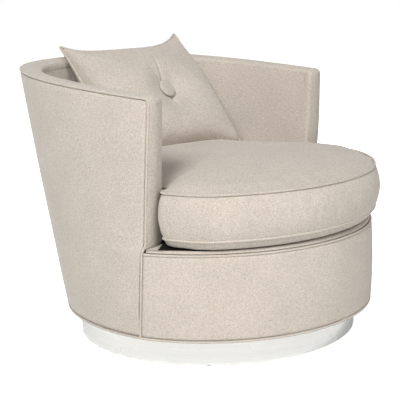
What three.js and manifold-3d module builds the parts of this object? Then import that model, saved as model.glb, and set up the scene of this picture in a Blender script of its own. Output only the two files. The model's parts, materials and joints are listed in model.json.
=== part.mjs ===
// Swivel barrel chair: a round metal-wrapped plinth, a ball swivel, and an upholstered barrel body with a
// loose seat cushion and a buttoned throw pillow. Millimetres, +Z up, the sitter faces -Y, and left and
// right are -X and +X. Everything is drawn about the swivel axis, and the whole chair is then moved so that
// the origin is on the floor, under the middle of its box.
import * as THREE from "three";
import { mergeVertices } from "three/addons/utils/BufferGeometryUtils.js";
import Module from "manifold-3d";

const wasm = await Module();
wasm.setup();

// How far the swivel axis stands in front of the middle of the chair's box
const axisToMiddle = 28.6;

// Clearances and mesh settings
const gap = 0.3;
const cutOverrun = 2;
const rodSteps = 8;
const mergeTolerance = 1e-4;
const searchSteps = 40;

// Plinth
const plinthRadius = 360;
const plinthHeight = 66;
const bandSheet = 1.2;
const curbWidth = 28;
const plinthSteps = 60;
const glideHeight = 3;
const glideRadius = 11;
const glideCount = 6;
const deckDiscThickness = 18;
const deckDiscTop = 60;
const battenWidth = 40;
const battenHeight = 30;
const battenOffset = 120;

// Swivel mechanism
const swivelHeight = 30;
const swivelPlateRadius = 150;
const swivelSteps = 24;
const swivelSheet = 3;
const swivelDomeRadius = 98;
const swivelDomeSlope = 10;
const swivelDomeRise = 8;
const ballCircleRadius = 90;
const ballCount = 10;
const cageHalfWidth = 6;
const cageThickness = 1.6;
const kingpinRadius = 5;
const kingpinHeadRadius = 9;
const kingpinHeadHeight = 5;
const nutRadius = 9;
const nutHeight = 6;
const nutSides = 6;
const screwCount = 4;
const upperScrewTurn = Math.PI / 4;
const screwCircleRadius = 130;
const screwHeadRadius = 6;
const screwHeadHeight = 3;
const screwShankRadius = 2.5;
const lowerScrewLength = 19;
const upperScrewLength = 26;

// Body outline: the bottom edge, and the top edge of the barrel wall
const bodyBottom = 70;
const bottomHalfWidth = 399;
const bottomWidestY = -46.7;
const bottomBackY = 404.3;
const bottomArmFrontY = -49;
const bottomFrontY = -405;
const bottomSquareness = 2;
const armTop = 640;
const backTop = 696;
const topHalfWidth = 407;
const topWidestY = -63;
const topBackY = 482.6;
const topArmFrontY = -99.5;
const topSquareness = 2.72;
const wallBow = 2;
const straightShare = 0.06;
const wallSteps = 36;
const wallRows = 4;
const normalStepShare = 0.015;

// Apron, the upholstered front under the seat
const apronTop = 279;
const apronTopFrontY = -408;
const apronBow = 4;
const apronSteps = 24;

// Layers of the wall, measured inwards from its outer face
const coverThickness = 8;
const chordAllowance = 1;
const frameThickness = 14;
const railThickness = 16;
const wallThicknessAtSeat = 75;
const wallThicknessAtTop = 60;
const boxingThickness = 6;
const weltRadius = 3;
const cordSides = 6;
const rimCornerRadius = 12;
const rimCornerShares = [0.25, 0.5, 0.75];
const boxingRows = 6;
const rimWeltRows = 8;
const dustCoverThickness = 1;
const dustCoverHoleRadius = 165;

// Seat frame
const bottomRingThickness = 18;
const bottomRingWidth = 60;
const bottomRingLift = 2;
const crossRailWidth = 44;
const crossRailHeight = 30;
const crossRailLap = 20;
const topRailHeight = 60;
const seatRailTop = 270;
const seatRailHeight = 50;
const armPostWidth = 54;
const armPostSteps = 3;
const postSteps = 1;
const backPostPlaceSteps = 9;
const frontStudPlaceShare = 0.42;
const studShare = 0.06;
const studRows = 3;
const studSteps = 2;

// Springs and decking
const springWireRadius = 1.75;
const springCount = 4;
const springPitch = 130;
const springHalfWidth = 24;
const springWaves = 6;
const springStepsPerWave = 4;
const springArchPower = 0.5;
const deckThickness = 12;
const deckTop = 289;
const deckWallInset = 30;
const lipDepth = 58;
const lipEndDepth = 9;
const lipEndShare = 0.955;
const lipFullShare = 0.745;
const lipNoseInset = 5;
const lipRounding = 4.5;
const lipFootShare = 0.35;
const lipCrestShare = 0.4;

// Seat cushion: the welts run round two outlines, the boxing swells between them
const cushionBottomWeltZ = 315;
const cushionTopWeltZ = 422;
const cushionFrontRadius = 434;
const cushionFrontCentreY = 20;
const cushionCrown = 35;
const cushionSwell = 11;
const cushionWeltInset = 4.5;
const cushionSideClearance = 3.4;
const cushionSagClearance = 0.3;
const earHalfWidth = 378;
const earBackY = -97;
const earCornerRadius = 20;
const cushionCentreY = -40;
const cushionArcDegrees = 54;
const cushionFrontSteps = 20;
const cushionBackSteps = 24;
const cushionCornerSteps = 3;
const cushionCrownPower = 2.4;
const cushionCrownShares = [0.3, 0.55, 0.75, 0.9];
// Share of the outline and share of the drop from the bottom welt to the flat sole
const cushionSoleShares = [[0.5, 1], [0.92, 1], [0.955, 0.85], [0.98, 0.5]];
// Share of the height between the welts and share of the boxing's swell
const cushionSwellShares = [[0.065, -0.1], [0.2, 0.66], [0.5, 1], [0.8, 0.66], [0.935, -0.1]];

// Throw pillow
const pillowSize = 396;
const pillowFrontSwell = 72;
const pillowBackSwell = 50;
const pillowSideShare = 0.1725;
const pillowToBack = 227.8;
const pillowUnderArmTop = 52.3;
const pillowYawDegrees = -18;
const pillowLeanDegrees = 44;
const pillowHollowShare = 0.08;
const pillowEarPower = 4;
const pillowEdgePower = 0.4;
const pillowSteps = 16;
const pillowWeltRadius = 2.5;
const tuftDepth = 22;
const tuftSpread = 36;
// Shares of the pillow's half width and half height from its middle
const buttonPlaceShares = [0.095, -0.152];
const buttonRadius = 24;
const buttonSteps = 16;
const buttonHeight = 14;
const buttonRimHeight = 7;
// Share of the button's radius and share of its height above the rim
const buttonDomeShares = [[0.92, 0.45], [0.55, 0.88]];

const up = new THREE.Vector3(0, 0, 1);
const chair = new THREE.Group();

// Materials
const paint = (color, roughness, metalness = 0) =>
  new THREE.MeshStandardMaterial({ color, roughness, metalness });
const fabric = () => paint(0xd2c9bd, 0.95);
const deckingCloth = () => paint(0x141414, 0.95);
const dustCloth = () => paint(0x1c1c1c, 0.95);
const plywood = () => paint(0xc49a6a, 0.75);
const hardwood = () => paint(0xa87848, 0.7);
const brightMetal = () => paint(0xe6e6e4, 0.3, 1);
const zincSteel = () => paint(0xa9abad, 0.4, 1);
const springSteel = () => paint(0x53565a, 0.45, 1);
const nylon = () => paint(0x2a2a2a, 0.6);

// Small helpers

const lerp = THREE.MathUtils.lerp;
const clamp = THREE.MathUtils.clamp;
const radians = THREE.MathUtils.degToRad;

function evenShares(steps, low = -1, high = 1) {
  return Array.from({ length: steps + 1 }, (_, i) => lerp(low, high, i / steps));
}

function add(name, geometry, material, parent = chair) {
  const mesh = new THREE.Mesh(geometry, material);
  mesh.name = name;
  parent.add(mesh);
  return mesh;
}

function indexedGeometry(points, triangles) {
  const geometry = new THREE.BufferGeometry();
  const flat = points.flatMap((p) => [p.x, p.y, p.z]);
  geometry.setAttribute("position", new THREE.Float32BufferAttribute(flat, 3));
  geometry.setIndex(triangles);
  return facingOut(geometry);
}

function facingOut(geometry) {
  const position = geometry.getAttribute("position");
  const corner = (i) => new THREE.Vector3().fromBufferAttribute(position, i);
  const index = geometry.index.array;
  let volume = 0;
  for (let i = 0; i < index.length; i += 3) {
    const side = corner(index[i + 1]).cross(corner(index[i + 2]));
    volume += corner(index[i]).dot(side);
  }
  if (volume < 0) {
    const swapped = Array.from(index);
    for (let i = 0; i < swapped.length; i += 3) {
      [swapped[i + 1], swapped[i + 2]] = [swapped[i + 2], swapped[i + 1]];
    }
    geometry.setIndex(swapped);
  }
  geometry.computeVertexNormals();
  return geometry;
}

// Skins a row of rings that all have the same even number of points. An open row is capped by ladders of
// quads between the first and second half of its end rings.
function loft(rings, closed = false) {
  const count = rings[0].length;
  const points = rings.flat();
  const triangles = [];
  const quad = (a, b, c, d) => triangles.push(a, b, c, a, c, d);
  const rows = closed ? rings.length : rings.length - 1;
  for (let row = 0; row < rows; row++) {
    const here = row * count;
    const next = ((row + 1) % rings.length) * count;
    for (let i = 0; i < count; i++) {
      const j = (i + 1) % count;
      quad(here + i, here + j, next + j, next + i);
    }
  }
  if (!closed) {
    const last = (rings.length - 1) * count;
    for (let i = 0; i < count / 2 - 1; i++) {
      const far = count - 1 - i;
      quad(i, far, far - 1, i + 1);
      quad(last + i, last + i + 1, last + far - 1, last + far);
    }
  }
  return dropCollapsed(indexedGeometry(points, triangles));
}

function dropCollapsed(geometry) {
  const merged = mergeVertices(geometry.deleteAttribute("normal"), mergeTolerance);
  const index = Array.from(merged.index.array);
  const kept = [];
  for (let i = 0; i < index.length; i += 3) {
    const [a, b, c] = index.slice(i, i + 3);
    if (a !== b && b !== c && c !== a) kept.push(a, b, c);
  }
  merged.setIndex(kept);
  merged.computeVertexNormals();
  return merged;
}

// A dome between rings: the first and last rings are closed by fans to the two poles.
function closedStack(rings, firstPole, lastPole) {
  const count = rings[0].length;
  const points = [...rings.flat(), firstPole, lastPole];
  const triangles = [];
  const poleA = rings.length * count;
  const last = (rings.length - 1) * count;
  for (let i = 0; i < count; i++) {
    const j = (i + 1) % count;
    triangles.push(poleA, j, i, poleA + 1, last + i, last + j);
    for (let row = 0; row < rings.length - 1; row++) {
      const here = row * count;
      const next = here + count;
      triangles.push(here + i, here + j, next + j, here + i, next + j, next + i);
    }
  }
  return indexedGeometry(points, triangles);
}

function toSolid(geometry) {
  const bare = geometry.clone();
  bare.deleteAttribute("normal");
  bare.deleteAttribute("uv");
  const merged = mergeVertices(bare, mergeTolerance);
  return new wasm.Manifold(
    new wasm.Mesh({
      numProp: 3,
      vertProperties: merged.attributes.position.array,
      triVerts: new Uint32Array(merged.index.array),
    }),
  );
}

function fromSolid(solid) {
  const mesh = solid.getMesh();
  const geometry = new THREE.BufferGeometry();
  geometry.setAttribute("position", new THREE.BufferAttribute(mesh.vertProperties, 3));
  geometry.setIndex(new THREE.BufferAttribute(mesh.triVerts, 1));
  geometry.computeVertexNormals();
  return geometry;
}

function cut(geometry, tools) {
  return fromSolid(tools.reduce((solid, tool) => solid.subtract(toSolid(tool)), toSolid(geometry)));
}

function join(geometries) {
  return fromSolid(geometries.map(toSolid).reduce((whole, part) => whole.add(part)));
}

// A turned piece about the vertical axis from a closed profile of [radius, height] pairs.
function turned(profile, steps) {
  const loop = [...profile, profile[0]].map(([r, z]) => new THREE.Vector2(r, z));
  const geometry = new THREE.LatheGeometry(loop, steps);
  geometry.rotateX(Math.PI / 2);
  geometry.deleteAttribute("uv");
  return facingOut(mergeVertices(geometry.deleteAttribute("normal"), mergeTolerance));
}

function ringOf(innerRadius, outerRadius, low, high, steps) {
  return turned([[innerRadius, low], [outerRadius, low], [outerRadius, high], [innerRadius, high]], steps);
}

function rod(radius, low, high, x = 0, y = 0, steps = rodSteps) {
  const geometry = new THREE.CylinderGeometry(radius, radius, high - low, steps);
  geometry.rotateX(Math.PI / 2);
  geometry.translate(x, y, (low + high) / 2);
  return geometry;
}

function block(sizeX, sizeY, sizeZ, x, y, z) {
  return new THREE.BoxGeometry(sizeX, sizeY, sizeZ).translate(x, y, z);
}

function circlePoint(radius, angle) {
  return [radius * Math.cos(angle), radius * Math.sin(angle)];
}

// Master surfaces of the body

const bottomEdge = {
  halfWidth: bottomHalfWidth,
  widestY: bottomWidestY,
  backY: bottomBackY,
  frontY: bottomArmFrontY,
  squareness: bottomSquareness,
};
const topEdge = {
  halfWidth: topHalfWidth,
  widestY: topWidestY,
  backY: topBackY,
  frontY: topArmFrontY,
  squareness: topSquareness,
};
const topSlope = (backTop - armTop) / (topBackY - topArmFrontY);

// Height of the barrel's top plane over a point at depth y.
function topPlane(y) {
  return armTop + topSlope * (y - topArmFrontY);
}

// A point of one edge: place runs from -1 at the left arm front through 0 at the back to 1 at the right one.
function edgePoint(edge, place, frontGap) {
  const side = Math.sign(place);
  const reach = Math.abs(place);
  const turn = 1 - straightShare;
  if (reach > turn) {
    const y = lerp(edge.widestY, edge.frontY + frontGap, (reach - turn) / straightShare);
    return [side * edge.halfWidth, y];
  }
  const angle = (reach / turn) * (Math.PI / 2);
  const power = 2 / edge.squareness;
  const x = side * edge.halfWidth * Math.sin(angle) ** power;
  return [x, edge.widestY + (edge.backY - edge.widestY) * Math.cos(angle) ** power];
}

function wallOuter(place, z, frontGap) {
  const [bottomX, bottomY] = edgePoint(bottomEdge, place, frontGap);
  const [topX, topY] = edgePoint(topEdge, place, frontGap);
  const share = (z - bodyBottom) / (topPlane(topY) - bodyBottom);
  return [lerp(bottomX, topX, share), lerp(bottomY, topY, share), share];
}

// A point of the barrel wall at height z, set in from its outer face.
function wallPoint(place, z, inset, frontGap = 0) {
  const step = normalStepShare;
  const reach = 1 - straightShare;
  const flat = Math.abs(place) >= reach;
  const [x, y, share] = wallOuter(place, z, frontGap);
  let normal = new THREE.Vector2(Math.sign(place), 0);
  if (!flat) {
    const [beforeX, beforeY] = wallOuter(Math.max(place - step, -reach), z, frontGap);
    const [afterX, afterY] = wallOuter(Math.min(place + step, reach), z, frontGap);
    normal = new THREE.Vector2(-(afterY - beforeY), afterX - beforeX).normalize();
  }
  const out = wallBow * Math.sin(Math.PI * clamp(share, 0, 1)) - inset;
  return new THREE.Vector3(x + normal.x * out, y + normal.y * out, z);
}

// The wall is thicker at its top edge than at the seat.
function innerInset(z) {
  const share = (z - seatRailTop) / (armTop - seatRailTop);
  return lerp(wallThicknessAtSeat, wallThicknessAtTop, share);
}

// Height of the top plane over the wall at one place and inset, less a drop.
function wallTopZ(place, inset, drop, frontGap) {
  const outerY = edgePoint(topEdge, place, frontGap)[1];
  return topPlane(wallPoint(place, topPlane(outerY), inset, frontGap).y) - drop;
}

// The last place between the back and an end of the wall at which a test still holds.
function searchPlace(end, holds) {
  let low = 0;
  let high = end;
  for (let i = 0; i < searchSteps; i++) {
    const middle = (low + high) / 2;
    if (holds(middle)) low = middle;
    else high = middle;
  }
  return low;
}

function wallPlaceAt(y, z, inset) {
  return searchPlace(1, (middle) => wallPoint(middle, z, inset).y > y);
}

function armFrontY(z) {
  return lerp(bottomArmFrontY, topArmFrontY, (z - bodyBottom) / (armTop - bodyBottom));
}

function wallHalfWidth(z) {
  const share = (z - bodyBottom) / (armTop - bodyBottom);
  return lerp(bottomHalfWidth, topHalfWidth, share) + wallBow * Math.sin(Math.PI * clamp(share, 0, 1));
}

// The circle of the apron at height z: it runs through both arm fronts and the apron's foremost point.
function apronCircle(z) {
  const share = (z - bodyBottom) / (apronTop - bodyBottom);
  const halfChord = wallHalfWidth(z);
  const endY = armFrontY(z);
  const bow = apronBow * Math.sin(Math.PI * clamp(share, 0, 1));
  const frontY = lerp(bottomFrontY, apronTopFrontY, share) - bow;
  const rise = endY - frontY;
  const radius = (halfChord ** 2 + rise ** 2) / (2 * rise);
  return { radius, centreY: frontY + radius, endAngle: Math.asin(halfChord / radius) };
}

function apronPoint(angle, z, inset) {
  const { radius, centreY } = apronCircle(z);
  const reach = radius - inset;
  return new THREE.Vector3(reach * Math.sin(angle), centreY - reach * Math.cos(angle), z);
}

// Solids that follow the master surfaces

const wallPlaces = evenShares(wallSteps);

// A slab of the wall between two places, two insets and two heights. Each height is a function of place and
// inset, and the inner inset a function of height.
function wallSlab({ from = -1, to = 1, outer, inner, low, high, rows = 1, frontGap }) {
  const places = evenShares(Math.max(1, Math.round((wallSteps * (to - from)) / 2)), from, to);
  const shares = evenShares(rows, 0, 1);
  const innerAt = typeof inner === "function" ? inner : () => inner;
  const rings = places.map((place) => {
    const column = (inset) =>
      shares.map((share) => {
        const depth = inset(high(place, inset(armTop)));
        const z = lerp(low(place, depth), high(place, depth), share);
        return wallPoint(place, z, inset(z), frontGap);
      });
    return [...column(() => outer), ...column(innerAt).reverse()];
  });
  return loft(rings);
}

// A slab of the apron between two angles, insets and heights.
function apronSlab({ angle, centre = 0, outer, inner, low, high, rows = 1, steps = apronSteps }) {
  const heights = evenShares(rows, low, high);
  const rings = evenShares(steps).map((place) => {
    const at = (inset, z) => {
      const reach = typeof angle === "function" ? angle(z) : angle;
      return apronPoint(centre + place * reach, z, inset);
    };
    const outerColumn = heights.map((z) => at(outer, z));
    const innerColumn = heights.map((z) => at(inner, z));
    return [...outerColumn, ...innerColumn.reverse()];
  });
  return loft(rings);
}

// The closed outline of the body at height z: wall from left to right round the back, then the apron.
function bodyOutline(z, inset) {
  const reach = 1 - straightShare;
  const wall = evenShares(wallSteps, -reach, reach).map((place) => wallPoint(place, z, inset));
  const { endAngle } = apronCircle(z);
  const cornerShare = 1 - 1 / apronSteps;
  const front = evenShares(apronSteps, cornerShare, -cornerShare).map((place) =>
    apronPoint(place * endAngle, z, inset),
  );
  return [...wall, ...front];
}

function outlineShape(points) {
  return new THREE.Shape(points.map((p) => new THREE.Vector2(p.x, p.y)));
}

function extrudedSheet(shape, low, high) {
  const geometry = new THREE.ExtrudeGeometry(shape, { depth: high - low, bevelEnabled: false });
  return geometry.translate(0, 0, low);
}

// A round cord along a closed or open line: sideways and upwards give the two directions across each point.
function cord(points, sideways, upwards, radius, closed) {
  const rings = points.map((p, i) =>
    Array.from({ length: cordSides }, (_, k) => {
      const angle = ((k + 0.5) / cordSides) * 2 * Math.PI;
      return p
        .clone()
        .addScaledVector(sideways[i], radius * Math.cos(angle))
        .addScaledVector(upwards[i], radius * Math.sin(angle));
    }),
  );
  return loft(rings, closed);
}

// Outward directions in plan along a closed counter-clockwise or clockwise loop.
function planNormals(points) {
  const area = points.reduce((sum, p, i) => {
    const q = points[(i + 1) % points.length];
    return sum + p.x * q.y - q.x * p.y;
  }, 0);
  const turn = Math.sign(area);
  return points.map((_, i) => {
    const before = points[(i + points.length - 1) % points.length];
    const after = points[(i + 1) % points.length];
    return new THREE.Vector3(turn * (after.y - before.y), -turn * (after.x - before.x), 0).normalize();
  });
}

// The rim: up the left arm front, over the corner, round the top edge and down the right arm front.
function rimStations(lowZ, frontRows) {
  const rise = evenShares(frontRows, lowZ, armTop - rimCornerRadius);
  const half = (side) => [
    ...rise.map((z) => ({ kind: "front", side, z })),
    ...rimCornerShares.map((share) => ({ kind: "corner", side, share })),
  ];
  const top = wallPlaces.map((place) => ({ kind: "top", place }));
  return [...half(-1), ...top, ...half(1).reverse()];
}

// A point of the rim at an inset from the outer face and a depth under the top or front face.
function rimPoint(station, inset, depth) {
  if (station.kind === "front") {
    const x = station.side * (wallHalfWidth(station.z) - inset);
    return new THREE.Vector3(x, armFrontY(station.z) + depth, station.z);
  }
  if (station.kind === "corner") {
    const frontNormal = new THREE.Vector2(armTop - bodyBottom, bottomArmFrontY - topArmFrontY)
      .normalize()
      .negate();
    const topNormal = new THREE.Vector2(-topSlope, 1).normalize();
    const centre = new THREE.Vector2(topArmFrontY, armTop)
      .addScaledVector(frontNormal, -rimCornerRadius)
      .addScaledVector(topNormal, -rimCornerRadius);
    const turn = frontNormal.clone().lerp(topNormal, station.share).normalize();
    const at = centre.addScaledVector(turn, rimCornerRadius - depth);
    return new THREE.Vector3(station.side * (wallHalfWidth(armTop) - inset), at.x, at.y);
  }
  const topY = edgePoint(topEdge, station.place, rimCornerRadius)[1];
  const p = wallPoint(station.place, topPlane(topY), inset, rimCornerRadius);
  p.z = topPlane(p.y) - depth;
  return p;
}

// A solid swept round the rim. The section gives [inset, depth] pairs for a station's height.
function rimSweep(stations, section) {
  const heightOf = (station) => (station.kind === "front" ? station.z : armTop);
  const rings = stations.map((station) =>
    section(heightOf(station)).map(([inset, depth]) => rimPoint(station, inset, depth)),
  );
  return loft(rings);
}

// Plinth

function buildPlinth() {
  const curbOuter = plinthRadius - bandSheet - gap;
  const curbInner = curbOuter - curbWidth;
  const discRadius = curbInner - gap;
  const discLow = deckDiscTop - deckDiscThickness;

  add("plinth_band", ringOf(plinthRadius - bandSheet, plinthRadius, glideHeight, plinthHeight, plinthSteps),
    brightMetal());
  const curb = ringOf(curbInner, curbOuter, glideHeight, plinthHeight - bandSheet, plinthSteps);
  add("plinth_curb", curb, plywood());

  const disc = ringOf(kingpinRadius + gap, discRadius, discLow, deckDiscTop, plinthSteps);
  const holes = screwPlaces(0).map(([x, y]) =>
    rod(screwShankRadius + gap, discLow - cutOverrun, deckDiscTop + cutOverrun, x, y),
  );
  add("plinth_deck_disc", cut(disc, holes), plywood());

  const battenReach = Math.sqrt(discRadius ** 2 - (battenOffset + battenWidth / 2) ** 2);
  for (const [name, side] of [["left", -1], ["right", 1]]) {
    const batten = block(battenWidth, 2 * battenReach, battenHeight, side * battenOffset, 0,
      discLow - battenHeight / 2);
    add(`plinth_batten_${name}`, batten, hardwood());
  }

  for (let i = 0; i < glideCount; i++) {
    const [x, y] = circlePoint((curbInner + curbOuter) / 2, ((i + 0.5) / glideCount) * 2 * Math.PI);
    add(`floor_glide_${i + 1}`, rod(glideRadius, 0, glideHeight, x, y), nylon());
  }
}

// Swivel

const upperFlangeTop = deckDiscTop + swivelHeight;
const domeTop = deckDiscTop + swivelSheet + swivelDomeRise;
const dishBottom = upperFlangeTop - swivelSheet - swivelDomeRise;

function screwPlaces(startAngle) {
  return evenShares(screwCount, 0, 2 * Math.PI)
    .slice(1)
    .map((turn) => circlePoint(screwCircleRadius, startAngle + turn));
}

// A stamped plate: a flat flange and a dome that carries the ball race. sign 1 domes upwards.
function stampedPlate(flangeFace, sign, startAngle) {
  const z = (height) => flangeFace + sign * height;
  const hole = kingpinRadius + gap;
  const foot = swivelDomeRadius + swivelDomeSlope;
  const profile = [
    [hole, z(swivelSheet + swivelDomeRise)],
    [swivelDomeRadius, z(swivelSheet + swivelDomeRise)],
    [foot, z(swivelSheet)],
    [swivelPlateRadius, z(swivelSheet)],
    [swivelPlateRadius, z(0)],
    [foot - gap, z(0)],
    [swivelDomeRadius - gap, z(swivelDomeRise)],
    [hole, z(swivelDomeRise)],
  ];
  const low = Math.min(z(-cutOverrun), z(swivelSheet + cutOverrun));
  const high = Math.max(z(-cutOverrun), z(swivelSheet + cutOverrun));
  const holes = screwPlaces(startAngle).map(([x, y]) => rod(screwShankRadius + gap, low, high, x, y));
  return cut(turned(profile, swivelSteps), holes);
}

// A pan-head screw whose head rests on z = seat; sign 1 points its shank upwards.
function screw(x, y, seat, length, sign) {
  const ends = (a, b) => [Math.min(a, b), Math.max(a, b)];
  const [headLow, headHigh] = ends(seat, seat - sign * screwHeadHeight);
  const [shankLow, shankHigh] = ends(seat - (sign * screwHeadHeight) / 2, seat + sign * length);
  return join([
    rod(screwHeadRadius, headLow, headHigh, x, y),
    rod(screwShankRadius, shankLow, shankHigh, x, y),
  ]);
}

function buildSwivel() {
  add("swivel_lower_plate", stampedPlate(deckDiscTop, 1, 0), zincSteel());
  add("swivel_upper_plate", stampedPlate(upperFlangeTop, -1, upperScrewTurn), zincSteel());

  const lowerSeat = deckDiscTop + swivelSheet;
  screwPlaces(0).forEach(([x, y], i) => {
    add(`lower_screw_${i + 1}`, screw(x, y, lowerSeat, lowerScrewLength, -1), zincSteel());
  });
  const upperSeat = upperFlangeTop - swivelSheet;
  screwPlaces(upperScrewTurn).forEach(([x, y], i) => {
    add(`upper_screw_${i + 1}`, screw(x, y, upperSeat, upperScrewLength, 1), zincSteel());
  });

  const ballRadius = (dishBottom - domeTop) / 2 - gap;
  const ballZ = (dishBottom + domeTop) / 2;
  const cage = ringOf(ballCircleRadius - cageHalfWidth, ballCircleRadius + cageHalfWidth,
    ballZ - cageThickness / 2, ballZ + cageThickness / 2, swivelSteps);
  const balls = Array.from({ length: ballCount }, (_, i) => {
    const [x, y] = circlePoint(ballCircleRadius, (i / ballCount) * 2 * Math.PI);
    return new THREE.OctahedronGeometry(ballRadius, 1).translate(x, y, ballZ);
  });
  add("swivel_ball_ring", join([cage, ...balls]), zincSteel());

  const upperFace = dishBottom + swivelSheet + gap;
  const nutTop = domeTop - swivelSheet - gap;
  const shankLow = nutTop - nutHeight;
  add("kingpin_bolt", join([
    rod(kingpinRadius, shankLow, upperFace + kingpinHeadHeight / 2),
    rod(kingpinHeadRadius, upperFace, upperFace + kingpinHeadHeight, 0, 0, 2 * rodSteps),
  ]), zincSteel());
  const nut = rod(nutRadius, shankLow, nutTop, 0, 0, nutSides);
  const bore = rod(kingpinRadius + gap, shankLow - cutOverrun, nutTop + cutOverrun);
  add("kingpin_nut", cut(nut, [bore]), zincSteel());
}

// Seat frame

const frameOuter = coverThickness + chordAllowance;
const frameInner = frameOuter + frameThickness;
const railOuter = frameInner + 2 * gap;
const railInner = railOuter + railThickness;
const ringLow = bodyBottom + bottomRingLift;
const ringHigh = ringLow + bottomRingThickness;
const underBoxing = boxingThickness + gap;
const layerFrontGap = boxingThickness + gap;

// Drop of the frame and padding under the top boxing; the front corner is cut back under the rounded rim.
function topDrop(place) {
  return underBoxing + (Math.abs(place) > 1 - straightShare / 2 ? rimCornerRadius / 2 : 0);
}

function buildBottomRing() {
  const shape = outlineShape(bodyOutline(ringLow, frameOuter));
  const inside = bodyOutline(ringLow, frameOuter + bottomRingWidth).reverse();
  shape.holes.push(new THREE.Path(inside.map((p) => new THREE.Vector2(p.x, p.y))));
  add("bottom_frame_ring", extrudedSheet(shape, ringLow, ringHigh), plywood());

  const cover = outlineShape(bodyOutline(ringLow, frameOuter));
  const opening = new THREE.Path();
  opening.absarc(0, 0, dustCoverHoleRadius, 0, 2 * Math.PI);
  cover.holes.push(opening);
  add("dust_cover", extrudedSheet(cover, ringLow - dustCoverThickness, ringLow), dustCloth());
}

function buildCrossRails() {
  const railX = screwCircleRadius * Math.SQRT1_2;
  const edgeX = railX + crossRailWidth / 2;
  const low = ringHigh;
  const high = ringHigh + crossRailHeight;
  const lap = frameInner + crossRailLap;
  const { radius, centreY } = apronCircle(low);
  const frontY = centreY - Math.sqrt((radius - lap) ** 2 - edgeX ** 2);
  const share = (low - bodyBottom) / (backTop - bodyBottom);
  const backReach = lerp(bottomBackY, topBackY, share) - bottomWidestY - lap;
  const backY = bottomWidestY + backReach * Math.sqrt(1 - (edgeX / (bottomHalfWidth - lap)) ** 2);
  for (const [name, side] of [["left", -1], ["right", 1]]) {
    const rail = block(crossRailWidth, backY - frontY, crossRailHeight, side * railX,
      (frontY + backY) / 2, (low + high) / 2);
    const holes = [-1, 1].map((end) =>
      rod(screwShankRadius + gap, low - cutOverrun, upperFlangeTop - swivelSheet + upperScrewLength + gap,
        side * railX, end * railX),
    );
    add(`cross_rail_${name}`, cut(rail, holes), hardwood());
  }
}

// The post behind an arm front: it keeps its width from the bottom ring up to the top rail.
function armPost(side) {
  const drop = topDrop(1) + topRailHeight + 3 * gap;
  const rings = evenShares(armPostSteps, 0, armPostWidth).map((across) => {
    const depthAt = (z) => armFrontY(z) + layerFrontGap + across;
    const high = topPlane(depthAt(armTop - drop)) - drop;
    const column = (inset) =>
      evenShares(wallRows, ringHigh, high).map((z) =>
        wallPoint(side * wallPlaceAt(depthAt(z), z, inset), z, inset),
      );
    return [...column(frameOuter), ...column(frameInner).reverse()];
  });
  return loft(rings);
}

function buildPosts() {
  const topOfPost = (place, inset) =>
    wallTopZ(place, inset, topDrop(place) + topRailHeight + gap, layerFrontGap);
  const half = (2 * postSteps) / wallSteps;
  const backPlace = (2 * backPostPlaceSteps) / wallSteps;
  const posts = [
    ["back_post_left", -backPlace - half, -backPlace + half],
    ["back_post_centre", -half, half],
    ["back_post_right", backPlace - half, backPlace + half],
  ];
  add("arm_post_left", armPost(-1), hardwood());
  add("arm_post_right", armPost(1), hardwood());
  for (const [name, from, to] of posts) {
    const slab = wallSlab({
      from,
      to,
      outer: frameOuter,
      inner: frameInner,
      low: () => ringHigh,
      high: topOfPost,
      rows: wallRows,
      frontGap: layerFrontGap,
    });
    add(name, slab, hardwood());
  }
  add("top_rail", wallSlab({
    outer: frameOuter,
    inner: frameInner,
    low: (place, inset) => wallTopZ(place, inset, topDrop(place) + topRailHeight, layerFrontGap),
    high: (place, inset) => wallTopZ(place, inset, topDrop(place), layerFrontGap),
    frontGap: layerFrontGap,
  }), plywood());
}

function buildSeatRails() {
  add("wall_seat_rail", wallSlab({
    outer: railOuter,
    inner: railInner,
    low: () => seatRailTop - seatRailHeight,
    high: () => seatRailTop,
    frontGap: layerFrontGap,
  }), plywood());

  // The front rail and its studs follow the apron and end short of the wall rail.
  const clearOfWall = (inset) => (z) => {
    const { radius, centreY } = apronCircle(z);
    return Math.acos(clamp((centreY - armFrontY(z)) / (radius - inset), 0, 1));
  };
  add("front_seat_rail", apronSlab({
    angle: clearOfWall(railInner),
    outer: railOuter,
    inner: railInner,
    low: seatRailTop - seatRailHeight,
    high: seatRailTop,
  }), plywood());

  const { endAngle } = apronCircle(seatRailTop);
  for (const [name, side] of [["left", -1], ["right", 1]]) {
    add(`front_stud_${name}`, apronSlab({
      angle: studShare * endAngle,
      centre: side * frontStudPlaceShare * endAngle,
      outer: frameOuter,
      inner: frameInner,
      low: ringHigh,
      high: seatRailTop,
      rows: studRows,
      steps: studSteps,
    }), hardwood());
  }
}

// A zigzag spring from the front rail to the back rail, arched up to the deck.
function springLine(x) {
  const endZ = seatRailTop + gap + springWireRadius;
  const crownZ = deckTop - deckThickness - gap - springWireRadius;
  const { radius, centreY } = apronCircle(seatRailTop);
  const seat = railInner - 2 * springWireRadius;
  const frontY = centreY - Math.sqrt((radius - seat) ** 2 - x ** 2);
  const backY = wallYAt(x, seatRailTop, seat);
  const steps = springWaves * springStepsPerWave;
  return evenShares(steps, 0, 1).map((share, i) => {
    const swing = Math.sin((i / springStepsPerWave) * 2 * Math.PI);
    const z = lerp(endZ, crownZ, Math.sin(Math.PI * share) ** springArchPower);
    return new THREE.Vector3(x + springHalfWidth * swing, lerp(frontY, backY, share), z);
  });
}

// Depth y of the wall over a side offset x.
function wallYAt(x, z, inset) {
  const place = searchPlace(1 - straightShare, (middle) => wallPoint(middle, z, inset).x < Math.abs(x));
  return wallPoint(place, z, inset).y;
}

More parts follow.
